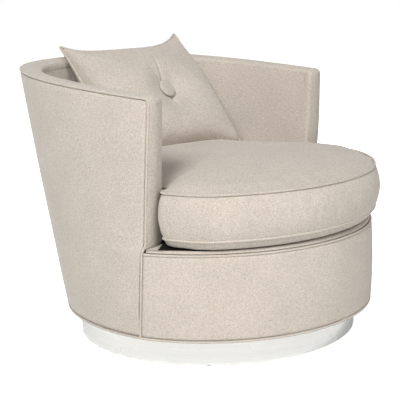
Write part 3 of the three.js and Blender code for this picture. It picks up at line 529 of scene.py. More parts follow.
def ramp_between(tree, factor, low, high, dark, light):
    """A colour between dark and light as factor goes from low to high."""
    share = add_node(tree, "ShaderNodeMapRange", {"Value": factor, "From Min": low, "From Max": high})
    mixed = add_node(tree, "ShaderNodeMix", {"Factor": share.outputs["Result"]}, data_type="RGBA")
    mixed.inputs["A"].default_value = dark
    mixed.inputs["B"].default_value = light
    return mixed.outputs["Result"]


def dress_shader(tree, shader, colour, pattern, strength, depth_mm):
    """Gives a shader its colour, and a fine relief that follows a pattern."""
    bump = add_node(tree, "ShaderNodeBump",
                    {"Strength": strength, "Distance": depth_mm / 1000, "Height": pattern})
    tree.links.new(colour, shader.inputs["Base Color"])
    tree.links.new(bump.outputs["Normal"], shader.inputs["Normal"])


def woven_fabric(name, light, dark, thread_mm, bump_mm):
    """Textured polyester-cotton upholstery cloth: thick uneven yarns of two close beiges, matt, with a faint
    bloom of loose fibre. The eye sees a fine pebbled mottle and no shine."""
    made, tree, shader, place = new_material(name, Roughness=0.93, Sheen_Weight=0.22, Sheen_Roughness=0.55,
                                             Specular_IOR_Level=0.25)
    yarn = add_node(tree, "ShaderNodeTexVoronoi", {"Vector": place, "Scale": 1000 / thread_mm})
    flattened = add_node(tree, "ShaderNodeMapping", {"Vector": place, "Scale": (1, 1, 1.5)})
    loops = add_node(tree, "ShaderNodeTexNoise",
                     {"Vector": flattened.outputs[0], "Scale": 1000 / (thread_mm * 1.7), "Detail": 2.0,
                      "Roughness": 0.6})
    cloud = add_node(tree, "ShaderNodeTexNoise", {"Vector": place, "Scale": 1000 / 90, "Detail": 1.0})
    heather = ramp_between(tree, loops.outputs["Fac"], 0.34, 0.66, linear(dark), linear(light))
    fleck = add_node(tree, "ShaderNodeSeparateColor", {"Color": yarn.outputs["Color"]})
    fleck_share = add_node(tree, "ShaderNodeMath", {0: fleck.outputs["Red"], 1: 0.42}, operation="MULTIPLY")
    tinted = add_node(tree, "ShaderNodeMix",
                      {"Factor": fleck_share.outputs[0], "A": heather, "B": linear(light)}, data_type="RGBA")
    shade = add_node(tree, "ShaderNodeMapRange",
                     {"Value": cloud.outputs["Fac"], "From Min": 0.3, "From Max": 0.7, "To Min": 0.972,
                      "To Max": 1.028})
    toned = add_node(tree, "ShaderNodeVectorMath",
                     {0: tinted.outputs["Result"], "Scale": shade.outputs["Result"]}, operation="SCALE")
    height = add_node(tree, "ShaderNodeMath", {0: loops.outputs["Fac"], 1: yarn.outputs["Distance"]},
                      operation="SUBTRACT")
    dress_shader(tree, shader, toned.outputs[0], height.outputs[0], strength=0.55, depth_mm=bump_mm)
    return made


def plain_cloth(name, dark, light, grain_mm):
    """Black decking twill and spunbond dust cloth: dull, with a fine pressed grain."""
    made, tree, shader, place = new_material(name, Roughness=0.95, Specular_IOR_Level=0.2)
    cells = add_node(tree, "ShaderNodeTexVoronoi", {"Vector": place, "Scale": 1000 / grain_mm})
    grain = cells.outputs["Distance"]
    tone = ramp_between(tree, grain, 0.1, 0.7, linear(dark), linear(light))
    dress_shader(tree, shader, tone, grain, strength=0.4, depth_mm=0.4)
    return made


def bright_band_steel(name, dark, light, brush_mm):
    """Polished stainless sheet with faint brushing that runs round the plinth: near white, with streaks."""
    made, tree, shader, place = new_material(name, Metallic=1.0)
    stretched = add_node(tree, "ShaderNodeMapping", {"Vector": place, "Scale": (3, 3, 1000 / brush_mm)})
    brushing = add_node(tree, "ShaderNodeTexNoise",
                        {"Vector": stretched.outputs[0], "Scale": 1.0, "Detail": 3.0, "Roughness": 0.6})
    smudges = add_node(tree, "ShaderNodeTexNoise", {"Vector": place, "Scale": 14.0, "Detail": 2.0})
    rough = add_node(tree, "ShaderNodeMapRange",
                     {"Value": smudges.outputs["Fac"], "To Min": 0.2, "To Max": 0.34})
    tree.links.new(rough.outputs["Result"], shader.inputs["Roughness"])
    streaks = brushing.outputs["Fac"]
    tone = ramp_between(tree, streaks, 0.3, 0.7, linear(dark), linear(light))
    dress_shader(tree, shader, tone, streaks, strength=0.12, depth_mm=0.1)
    return made


def plated_steel(name, dark, light, roughness):
    """Zinc-plated and oiled steel: a grey metal with cloudy patches of plating."""
    made, tree, shader, place = new_material(name, Metallic=1.0, Roughness=roughness)
    plating = add_node(tree, "ShaderNodeTexNoise", {"Vector": place, "Scale": 1000 / 14, "Detail": 4.0})
    clouds = plating.outputs["Fac"]
    tone = ramp_between(tree, clouds, 0.35, 0.65, linear(dark), linear(light))
    dress_shader(tree, shader, tone, clouds, strength=0.15, depth_mm=0.2)
    return made


def bare_wood(name, dark, light, grain_scale, ring_mm, plies=False):
    """Birch plywood with its plies, and sawn hardwood: dry, pale to mid brown, with long grain."""
    made, tree, shader, place = new_material(name, Roughness=0.68, Specular_IOR_Level=0.35)
    stretched = add_node(tree, "ShaderNodeMapping", {"Vector": place, "Scale": grain_scale})
    grain = add_node(tree, "ShaderNodeTexNoise",
                     {"Vector": stretched.outputs[0], "Scale": 1.0, "Detail": 5.0, "Roughness": 0.65})
    rings = add_node(tree, "ShaderNodeTexWave",
                     {"Vector": place, "Scale": 1000 / ring_mm / 20, "Distortion": 0.4 if plies else 5.0,
                      "Detail": 2.0}, bands_direction="Z" if plies else "X")
    both = add_node(tree, "ShaderNodeMath", {0: grain.outputs["Fac"], 1: rings.outputs["Fac"]},
                    operation="MULTIPLY")
    tone = ramp_between(tree, both.outputs[0], 0.05, 0.6, linear(dark), linear(light))
    dress_shader(tree, shader, tone, grain.outputs["Fac"], strength=0.25, depth_mm=0.4)
    return made


def moulded_nylon(name, dark, light):
    """Black moulded nylon: dull, with a fine spark-eroded grain."""
    made, tree, shader, place = new_material(name, Roughness=0.5)
    sparks = add_node(tree, "ShaderNodeTexNoise", {"Vector": place, "Scale": 1000 / 1.5, "Detail": 2.0})
    grain = sparks.outputs["Fac"]
    tone = ramp_between(tree, grain, 0.3, 0.7, linear(dark), linear(light))
    dress_shader(tree, shader, tone, grain, strength=0.2, depth_mm=0.2)
    return made


# Shares of the yarn's size and relief, and the makers of the other materials with their values
FABRICS = {"body_fabric": (1, 1), "welt_fabric": (0.8, 0.6)}
FINISHES = {
    "decking_cloth": (plain_cloth, "#0b0b0b", "#1b1b1a", 2.4),
    "dust_cloth": (plain_cloth, "#101010", "#242424", 1.6),
    "plywood": (bare_wood, "#a87c4c", "#d8b586", (9, 90, 90), 1.6, True),
    "hardwood": (bare_wood, "#7f5632", "#b98a58", (70, 70, 9), 9),
    "bright_metal_band": (bright_band_steel, "#e4e4e2", "#f3f3f1", 0.9),
    "zinc_steel": (plated_steel, "#8d9093", "#c3c6c8", 0.36),
    "spring_steel": (plated_steel, "#3b3d40", "#5e6165", 0.42),
    "nylon": (moulded_nylon, "#1d1d1d", "#343434"),
}


def material(slot):
    """The material of a slot, made on first use; the fabrics follow the panel's settings."""
    name = "finish_" + slot
    found = bpy.data.materials.get(name)
    if found:
        return found
    if slot in FABRICS:
        cloth = bpy.context.scene.barrel_chair_fabric
        size, depth = FABRICS[slot]
        return woven_fabric(name, hex_of(cloth.light_yarn), hex_of(cloth.dark_yarn), cloth.yarn_size * size,
                            cloth.yarn_height * depth)
    maker, *values = FINISHES[slot]
    return maker(name, *values)


def hex_of(colour):
    """sRGB hex of a linear colour property."""
    values = [12.92 * v if v <= 0.0031308 else 1.055 * v ** (1 / 2.4) - 0.055 for v in colour]
    return "#" + "".join(f"{round(max(0.0, min(1.0, v)) * 255):02x}" for v in values)


# Geometry node trees

def open_tree(name, sizes):
    """A geometry node tree with a Geometry input, named number inputs, and a Geometry output."""
    tree = bpy.data.node_groups.new(name, "GeometryNodeTree")
    tree.interface.new_socket("Geometry", in_out="INPUT", socket_type="NodeSocketGeometry")
    for label, default in sizes.items():
        kind = "NodeSocketInt" if isinstance(default, int) else "NodeSocketFloat"
        tree.interface.new_socket(label, in_out="INPUT", socket_type=kind).default_value = default
    tree.interface.new_socket("Finish", in_out="INPUT", socket_type="NodeSocketMaterial")
    tree.interface.new_socket("Geometry", in_out="OUTPUT", socket_type="NodeSocketGeometry")
    return tree, add_node(tree, "NodeGroupInput"), add_node(tree, "NodeGroupOutput")


def close_tree(tree, start, end, geometry):
    """Ends a tree in Realize Instances, smooth shading and Set Material."""
    real = add_node(tree, "GeometryNodeRealizeInstances", {"Geometry": geometry})
    smooth = add_node(tree, "GeometryNodeSetShadeSmooth", {"Geometry": real.outputs[0]})
    dressed = add_node(tree, "GeometryNodeSetMaterial",
                       {"Geometry": smooth.outputs[0], "Material": start.outputs["Finish"]})
    tree.links.new(dressed.outputs[0], end.inputs["Geometry"])
    return tree


def cord_tree():
    """A round covered cord along the object's own line, with the slight lumps of cloth sewn over it."""
    tree, start, end = open_tree("welt_cord", {"Radius": 0.003, "Sides": 12, "Lump Size": 0.011,
                                               "Lump Height": 0.00064})
    line = add_node(tree, "GeometryNodeMeshToCurve", {"Mesh": start.outputs["Geometry"]})
    ring = add_node(tree, "GeometryNodeCurvePrimitiveCircle",
                    {"Radius": start.outputs["Radius"], "Resolution": start.outputs["Sides"]})
    tube = add_node(tree, "GeometryNodeCurveToMesh",
                    {"Curve": line.outputs[0], "Profile Curve": ring.outputs[0], "Fill Caps": True})
    place = add_node(tree, "GeometryNodeInputPosition").outputs[0]
    per_metre = add_node(tree, "ShaderNodeMath", {0: 1.0, 1: start.outputs["Lump Size"]},
                         operation="DIVIDE")
    lumps = add_node(tree, "ShaderNodeTexNoise",
                     {"Vector": place, "Scale": per_metre.outputs[0], "Detail": 1.0})
    centred = add_node(tree, "ShaderNodeMath", {0: lumps.outputs["Fac"], 1: 0.5}, operation="SUBTRACT")
    height = add_node(tree, "ShaderNodeMath", {0: centred.outputs[0], 1: start.outputs["Lump Height"]},
                      operation="MULTIPLY")
    normal = add_node(tree, "GeometryNodeInputNormal").outputs[0]
    push = add_node(tree, "ShaderNodeVectorMath", {0: normal, "Scale": height.outputs[0]}, operation="SCALE")
    moved = add_node(tree, "GeometryNodeSetPosition",
                     {"Geometry": tube.outputs[0], "Offset": push.outputs[0]})
    return close_tree(tree, start, end, moved.outputs[0])


def ring_tree():
    """Copies of the object's own shape round the swivel axis."""
    tree, start, end = open_tree("round_the_axis", {"Count": 6, "Radius": 0.1, "First Angle": 0.0,
                                                    "Centre Y": 0.0, "Height": 0.0})
    ring = add_node(tree, "GeometryNodeMeshCircle",
                    {"Vertices": start.outputs["Count"], "Radius": start.outputs["Radius"]})
    turn = add_node(tree, "ShaderNodeCombineXYZ", {"Z": start.outputs["First Angle"]})
    middle = add_node(tree, "ShaderNodeCombineXYZ",
                      {"Y": start.outputs["Centre Y"], "Z": start.outputs["Height"]})
    placed = add_node(tree, "GeometryNodeTransform",
                      {"Geometry": ring.outputs[0], "Translation": middle.outputs[0],
                       "Rotation": turn.outputs[0]})
    copies = add_node(tree, "GeometryNodeInstanceOnPoints",
                      {"Points": placed.outputs[0], "Instance": start.outputs["Geometry"]})
    return close_tree(tree, start, end, copies.outputs[0])


def grow(obj, tree, values):
    """Runs a node tree on an object and keeps the result as its mesh."""
    modifier = obj.modifiers.new(tree.name, "NODES")
    modifier.node_group = tree
    for item in tree.interface.items_tree:
        if item.in_out == "INPUT" and item.name in values:
            modifier[item.identifier] = values[item.name]
    return bake(obj)


def shared_tree(name, maker):
    return bpy.data.node_groups.get(name) or maker()


def add_cord(name, line, radius, slot, replaced, closed=False, lump_height=0.00064):
    """A covered welt cord, or a plain wire, along a line in millimetres."""
    count = len(line)
    edges = [(i, i + 1) for i in range(count - 1)] + ([(count - 1, 0)] if closed else [])
    mesh = bpy.data.meshes.new(name)
    mesh.from_pydata([tuple(p) for p in metres(line)], edges, [])
    cord = grow(add_object(name, mesh), shared_tree("welt_cord", cord_tree),
                {"Radius": radius / 1000, "Lump Height": lump_height, "Finish": material(slot)})
    return finish_piece(cord, slot, [replaced])


# Settings

def length_setting(name, description, default, low, high):
    return FloatProperty(name=name, description=description + ", in millimetres", default=default,
                         min=low, max=high)


def colour_setting(name, description, default):
    return FloatVectorProperty(name=name, description=description, subtype="COLOR", min=0, max=1,
                               default=linear(default)[:3])


def power_setting(name, description, default):
    return FloatProperty(name=name, description=description, subtype="POWER", default=default, min=0)


class BarrelChairFabric(bpy.types.PropertyGroup):
    """Colours and yarn of the upholstery cloth"""
    light_yarn: colour_setting("Light yarn", "Colour of the lighter yarn", "#c9c0b5")
    dark_yarn: colour_setting("Dark yarn", "Colour of the darker yarn", "#a79d91")
    yarn_size: length_setting("Yarn size", "Spacing of the loops, coarser than real to show", 2.3, 1, 10)
    yarn_height: length_setting("Yarn height", "Relief of the weave", 0.7, 0, 3)


class BarrelChairShape(bpy.types.PropertyGroup):
    """Fullness of the soft parts"""
    pad_fullness: length_setting("Pad fullness", "How far the inside padding swells", 1.6, 0, 6)
    band_crown: length_setting("Band crown", "Rise of the rim's band between its edges", 3.5, 0, 8)
    cushion_crown: length_setting("Cushion crown", "Rise of the seat cushion over its welt", 41, 5, 60)
    cushion_swell: length_setting("Cushion swell", "How far the cushion's side swells out", 11, 0, 20)
    pillow_front: length_setting("Pillow front", "Fullness of the pillow's face", 72, 20, 90)
    pillow_back: length_setting("Pillow back", "Fullness of the pillow's back", 50, 20, 90)
    raised_ear: length_setting("Raised ear", "How far the pillow's top right ear is pulled up", 19, 0, 30)
    tuft_depth: length_setting("Tuft depth", "How deep the button draws the pillow in", 22, 0, 40)
    button_radius: length_setting("Button radius", "Radius of the covered button", 26.5, 8, 30)
    sim_frames: IntProperty(name="Cloth frames", description="Frames that the cloth simulation runs",
                            default=18, min=2, max=60)


class BarrelChairStage(bpy.types.PropertyGroup):
    """Lights and floor"""
    key_power: power_setting("Key light", "Power of the large soft light", 680)
    fill_power: power_setting("Fill light", "Power of the weaker light from the front", 250)
    rear_power: power_setting("Rear light", "Power of the weak light from behind", 130)
    room_light: FloatProperty(name="Room light", default=0.16, min=0,
                              description="Light that matt surfaces take from the white room")
    floor_lift: FloatProperty(name="Floor lift", default=0.84, min=0,
                              description="Light that the floor shows the camera by itself")
    floor_colour: colour_setting("Floor", "Colour of the studio floor", "#fbfbfa")


class ChairOperator:
    """What every maker operator shares"""
    bl_options = {"REGISTER", "UNDO"}

    @property
    def shape(self):
        return bpy.context.scene.barrel_chair_shape


# Pieces

class BARREL_OT_stage(ChairOperator, bpy.types.Operator):
    """Makes the pale floor, the soft studio lights and the photograph's camera"""
    bl_idname = "barrel.stage"
    bl_label = "Studio stage"

    def execute(self, context):
        settings = context.scene.barrel_chair_stage
        self.add_camera(context.scene)
        self.add_floor(settings)
        self.add_backdrop(context.scene, settings)
        self.add_light("key_softbox", (-6.6, -1.8, 6.3), 3.0, settings.key_power)
        self.add_light("fill_softbox", (-2.4, -6.8, 4.4), 4.4, settings.fill_power)
        self.add_light("rear_softbox", (3.6, 6.4, 5.2), 4.4, settings.rear_power)
        return {"FINISHED"}

    def add_camera(self, scene):
        lens = bpy.data.cameras.new("photo_camera")
        lens.lens = CAMERA_LENS
        lens.sensor_width = 36
        lens.shift_x, lens.shift_y = CAMERA_SHIFT
        scene.camera = add_object("photo_camera", lens)
        turn = Matrix((CAMERA_RIGHT, CAMERA_UP, CAMERA_BACK)).transposed()
        scene.camera.matrix_world = Matrix.Translation(metres([CAMERA_PLACE])[0]) @ turn.to_4x4()

    def add_floor(self, settings):
        """A matt floor that shows the camera a little light of its own."""
        mesh = bpy.data.meshes.new("studio_floor")
        corners = [(x * FLOOR_HALF, y * FLOOR_HALF, 0) for x, y in ((-1, -1), (1, -1), (1, 1), (-1, 1))]
        mesh.from_pydata(corners, [], [(0, 1, 2, 3)])
        finish, tree, shader, place = new_material("matt_studio_floor", Roughness=0.85,
                                                   Specular_IOR_Level=0.2)
        cloud = add_node(tree, "ShaderNodeTexNoise", {"Vector": place, "Scale": 0.8}).outputs["Fac"]
        pale = [*settings.floor_colour, 1.0]
        worn = [v * 0.99 for v in settings.floor_colour] + [1.0]
        tree.links.new(ramp_between(tree, cloud, 0.0, 1.0, worn, pale), shader.inputs["Base Color"])
        shader.inputs["Emission Color"].default_value = pale
        camera_ray = add_node(tree, "ShaderNodeLightPath").outputs["Is Camera Ray"]
        lift = add_node(tree, "ShaderNodeMath", {0: camera_ray, 1: settings.floor_lift},
                        operation="MULTIPLY")
        tree.links.new(lift.outputs[0], shader.inputs["Emission Strength"])
        mesh.materials.append(finish)
        add_object("studio_floor", mesh)

    def add_backdrop(self, scene, settings):
        """A white room, bright to the camera and in reflections, and dim to matt surfaces."""
        world = bpy.data.worlds.new("white_studio")
        world.use_nodes = True
        tree = world.node_tree
        backdrop = tree.nodes["Background"]
        backdrop.inputs["Color"].default_value = (1, 1, 1, 1)
        path = add_node(tree, "ShaderNodeLightPath").outputs
        seen = add_node(tree, "ShaderNodeMath", {0: path["Is Camera Ray"], 1: path["Is Glossy Ray"]},
                        operation="MAXIMUM")
        strength = add_node(tree, "ShaderNodeMapRange",
                            {"Value": seen.outputs[0], "To Min": settings.room_light, "To Max": 1.0})
        tree.links.new(strength.outputs["Result"], backdrop.inputs["Strength"])
        scene.world = world
        scene.view_settings.view_transform = "Standard"

    def add_light(self, name, place, size, power):
        lamp = bpy.data.lights.new(name, "AREA")
        lamp.size = size
        lamp.energy = power
        light = add_object(name, lamp)
        light.location = place
        light.rotation_euler = (Vector(LIGHT_AIM) - Vector(place)).to_track_quat("-Z", "Y").to_euler()


class BARREL_OT_plinth(ChairOperator, bpy.types.Operator):
    """Makes the bright metal band of the plinth and the glides under it"""
    bl_idname = "barrel.plinth"
    bl_label = "Plinth band and glides"

    def execute(self, context):
        sheet, lip, bend = 1.2, 0.6, 0.18
        outer, inner = PLINTH_RADIUS, PLINTH_RADIUS - sheet
        foot = [(inner, 0), (outer - lip, 0), (outer - bend, bend), (outer, lip)]
        profile = [(r, PLINTH_FOOT + z) for r, z in foot]
        profile += [(outer, z) for z in np.linspace(PLINTH_FOOT + 4, PLINTH_TOP - 4, 8)]
        profile += [(r, PLINTH_TOP - z) for r, z in foot[::-1]]
        band = add_mesh("plinth_bright_band", *skin(revolve(profile, 256), closed_rows=True))
        finish_piece(band, "bright_metal_band", ["plinth_band"], body="base")

        profile = [(0, 0.0), (9.6, 0.0), (10.7, 0.5), (11, 1.4), (11, 3.0), (0, 3.0)]
        glides = turned_copies("floor_glides", profile, "nylon", steps=32, count=6, circle=GLIDE_CIRCLE,
                               first=math.pi / 6)
        finish_piece(glides, "nylon", [f"floor_glide_{i}" for i in range(1, 7)], body="base")
        return {"FINISHED"}


def turned_copies(name, profile, slot, steps, count, circle, first=0.0, height=0.0):
    """Copies of a small turned shape round the swivel axis; its profile starts and ends on its own axis."""
    rings = revolve(profile[1:-1], steps).transpose(1, 0, 2)
    points, faces = dome_stack(rings, (0, 0, profile[0][1]), (0, 0, profile[-1][1]))
    return grow(add_mesh(name, points - AXIS_SHIFT, faces), shared_tree("round_the_axis", ring_tree),
                {"Count": count, "Radius": circle / 1000, "First Angle": first, "Centre Y": SWIVEL_Y / 1000,
                 "Height": height / 1000, "Finish": material(slot)})


class BARREL_OT_swivel(ChairOperator, bpy.types.Operator):
    """Makes the swivel's ball ring and its screws, and finishes the swivel's own plates"""
    bl_idname = "barrel.swivel"
    bl_label = "Swivel"

    def execute(self, context):
        ball = 2.2
        arc = [(ball * math.cos(a), ball * math.sin(a)) for a in np.linspace(-math.pi / 2, math.pi / 2, 11)]
        balls = turned_copies("swivel_balls", arc, "zinc_steel", steps=16, count=10, circle=BALL_CIRCLE,
                              height=BALL_Z)
        finish_piece(balls, "zinc_steel", ["swivel_ball_ring"], body="ball_ring")
        profile = [(84, -0.8), (90, -1.1), (96, -0.8), (96.3, 0), (96, 0.8), (90, 1.1), (84, 0.8), (83.7, 0)]
        cage = add_mesh("swivel_ball_cage",
                        *skin(revolve([(r, BALL_Z + z) for r, z in profile], 96), closed_rows=True))
        finish_piece(cage, "zinc_steel", body="ball_ring")

        self.add_screws("lower", "base", seat=63, length=19, sign=-1, first=0.0)
        self.add_screws("upper", "seat", seat=87, length=26, sign=1, first=math.pi / 4)
        for node in ("swivel_lower_plate", "swivel_upper_plate", "kingpin_bolt", "kingpin_nut"):
            dress_node(node, "zinc_steel")
        return {"FINISHED"}

    def add_screws(self, plate, body, seat, length, sign, first):
        """Four pan-head screws with a round recess in the head; sign 1 points their shanks upwards."""
        shank, root, pitch, plain, tip = 2.5, 2.05, 2.2, 1.2, 3
        profile = [(0, -1.6), (1.2, -1.6), (1.6, -2.7), (3.4, -3.0), (5.1, -2.3), (6, -1.0), (6, 0),
                   (shank, 0)]
        for depth in np.arange(plain, length - tip, pitch):
            profile += [(shank, depth), (root, depth + pitch / 4), (shank, depth + pitch / 2)]
        profile += [(2.0, length - 2), (0, length)]
        screws = turned_copies(plate + "_screws", [(r, z * sign) for r, z in profile], "zinc_steel",
                               steps=20, count=4, circle=SCREW_CIRCLE, first=first, height=seat)
        finish_piece(screws, "zinc_steel", [f"{plate}_screw_{i}" for i in range(1, 5)], body=body)


def dress_node(node, slot):
    """Gives a frame node whose shape stays its better material."""
    obj = frame["nodes"][node]
    obj.data.materials.clear()
    obj.data.materials.append(material(slot))


class BARREL_OT_frame(ChairOperator, bpy.types.Operator):
    """Finishes the wooden frame and makes the seat springs"""
    bl_idname = "barrel.frame"
    bl_label = "Wooden frame and springs"

    def execute(self, context):
        for part in frame["record"]["subparts"]:
            if part["material_slot"] in ("plywood", "hardwood"):
                dress_node(part["node"], part["material_slot"])
        for number in range(1, 5):
            self.add_spring(number)
        return {"FINISHED"}

    def add_spring(self, number):
        """A zigzag spring with round bends, arched from the front rail to the back rail."""
        low, high = (np.array(corner) * 1000 - AXIS_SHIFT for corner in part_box(f"seat_spring_{number}"))
        wire, waves = 1.75, 6
        centre = (low[0] + high[0]) / 2
        swing = (high[0] - low[0]) / 2 - wire
        share = np.linspace(0, 1, 241)
        wave = np.sin(share * waves * 2 * math.pi)
        x = centre + swing * np.sign(wave) * np.abs(wave) ** 0.7
        y = lerp(low[1] + wire, high[1] - wire, share)
        z = lerp(low[2] + wire, high[2] - wire, np.sin(math.pi * share) ** 0.5)
        add_cord(f"zigzag_spring_{number}", np.stack([x, y, z], axis=-1), wire, "spring_steel",
                 f"seat_spring_{number}", lump_height=0.0)


class BARREL_OT_barrel(ChairOperator, bpy.types.Operator):
    """Makes the barrel's outside cover, its inside padding and the band along its rim"""
    bl_idname = "barrel.barrel"
    bl_label = "Barrel upholstery"

    def execute(self, context):
        self.outside_cover()
        self.inside_padding()
        self.rim_band()
        return {"FINISHED"}

    def outside_cover(self):
        drop = 2 * WELT + 2 * GAP + RIM_SLIT
        places = even_places(300)
        front_y = edge_point(TOP_EDGE, places, drop)[1] - TOP_EDGE["front"]
        corner = RIM_CORNER - drop
        into = np.clip(RIM_CORNER - front_y, 0, corner)
        extra = corner - np.sqrt(np.maximum(corner ** 2 - into ** 2, 0))
        low = BODY_BOTTOM + 2 * WELT + GAP
        high = (wall_top(places, 0.0, drop, drop) - extra)[:, None]
        z = lerp(low, high, np.linspace(0, 1, 72)[None, :])
        edge = np.minimum(z - low, high - z)
        places = places[:, None]
        to_front = np.abs(np.abs(places) - 1) * WALL_RUN
        inset = roll_in(edge, depth=2.2, reach=4.0) + roll_in(to_front, depth=1.8, reach=5.0)
        lumps = uneven(wall_point(places, z, 0.0, drop), size=150, seed=1, amount=0.7)
        lumps *= np.clip(edge / SEAM_CALM, 0, 1)
        outer = wall_point(places, z, inset + COVER_REST - lumps, drop)
        inner = wall_point(places, z[:, ::-9], COVER_THICKNESS, drop)
        cover = add_mesh("barrel_outside_cover", *skin(np.concatenate([outer, inner], axis=1)))
        finish_piece(cover, "body_fabric", ["shell_outer_cover"])

    def inside_padding(self):
        places = even_places(260, z=560)
        low, gap = DECK_TOP + GAP, 2 * WELT + GAP
        high = wall_top(places, PAD_BACK, PAD_DROP, gap)[:, None]
        z = lerp(low, high, np.linspace(0, 1, 60)[None, :])
        places = places[:, None]
        shows = share_of(z, PAD_HIDDEN_TO, PAD_FULL_FROM)
        full = self.shape.pad_fullness * shows * np.sin(math.pi * share_of(z, low, high)) ** 0.5
        to_front = np.abs(np.abs(places) - 1) * WALL_RUN
        tuck = roll_in(high - z, depth=1.4, reach=8.0) + roll_in(to_front, depth=1.0, reach=12.0)
        inset = inner_inset(z) - tuck + full
        lumps = uneven(wall_point(places, z, inset, gap), size=120, seed=2, amount=0.8) * shows
        face = wall_point(places, z, inset + lumps, gap)
        back = wall_point(places, z[:, ::-10], PAD_BACK, gap)
        pad = add_mesh("barrel_inside_padding", *skin(np.concatenate([face, back], axis=1)))
        finish_piece(pad, "body_fabric", ["inner_back_pad"])

    def rim_band(self):
        """The band between the rim's welt and the soft inner edge, up the arm fronts and over the top."""
        first, soft, rows = 2 * WELT - 0.6, 10.0, 9
        crown = -self.shape.band_crown * np.sin(np.linspace(0.12, math.pi, rows))
        rings = []
        for station in rim_stations(DECK_TOP + GAP, 70):
            inner = float(inner_inset(station[1] if station[0] == "front" else ARM_TOP))
            section = [(first, 1.3), (first + 0.9, 0.2)]
            section += zip(np.linspace(first + 2.5, inner - soft, rows), crown)
            section += [(inner - soft + soft * math.sin(turn), soft - soft * math.cos(turn))
                        for turn in np.linspace(0.15, 1, 6) * math.pi / 2]
            section += [(inner, 13), (inner - 0.2, 17), (inner - 0.9, 22), (inner - 4, 23),
                        (inner - soft, 12), (first + 2, 6.5)]
            rings.append([rim_point(station, inset, depth) for inset, depth in section])
        band = add_mesh("rim_boxing_band", *skin(np.array(rings)))
        finish_piece(band, "body_fabric", ["boxing_band"])


def rim_stations(low, front_rows, top_rows=300):
    """Stations up the left arm front, round its corner, along the top and down the right arm front."""
    front = [("front", z) for z in np.linspace(low, ARM_TOP - RIM_CORNER, front_rows)]
    corner = [("corner", share) for share in np.linspace(0.1, 0.9, 7)]
    left = [(*s, -1) for s in front + corner]
    right = [(*s, 1) for s in front + corner][::-1]
    return left + [("top", place, 0) for place in even_places(top_rows, z=630)] + right


def rim_point(station, inset, depth):
    """A point of the rim at an inset from the outer face and a depth under the top or front face."""
    kind, value, side = station
    if kind == "front":
        return np.array([side * (wall_half(value) - inset), arm_front(value) + depth, value])
    if kind == "corner":
        front = unit(np.array([-(ARM_TOP - BODY_BOTTOM), TOP_EDGE["front"] - BOTTOM_EDGE["front"]], float))
        top = unit(np.array([-TOP_SLOPE, 1.0]))
        tip = TOP_EDGE["front"] - ARM_STEP
        centre = np.array([tip, top_plane(tip)]) - RIM_CORNER * (front + top)
        turn = unit(lerp(front, top, value))
        y, z = centre + turn * (RIM_CORNER - depth)
        return np.array([side * (wall_half(ARM_TOP) - inset), y, z])
    level = top_plane(edge_point(TOP_EDGE, value, RIM_CORNER)[1])
    p = wall_point(value, level, inset, RIM_CORNER)
    z = top_plane(p[1]) - depth
    if depth > 1:
        p = wall_point(value, z, inset, RIM_CORNER)
    return np.array([p[0], p[1], z])


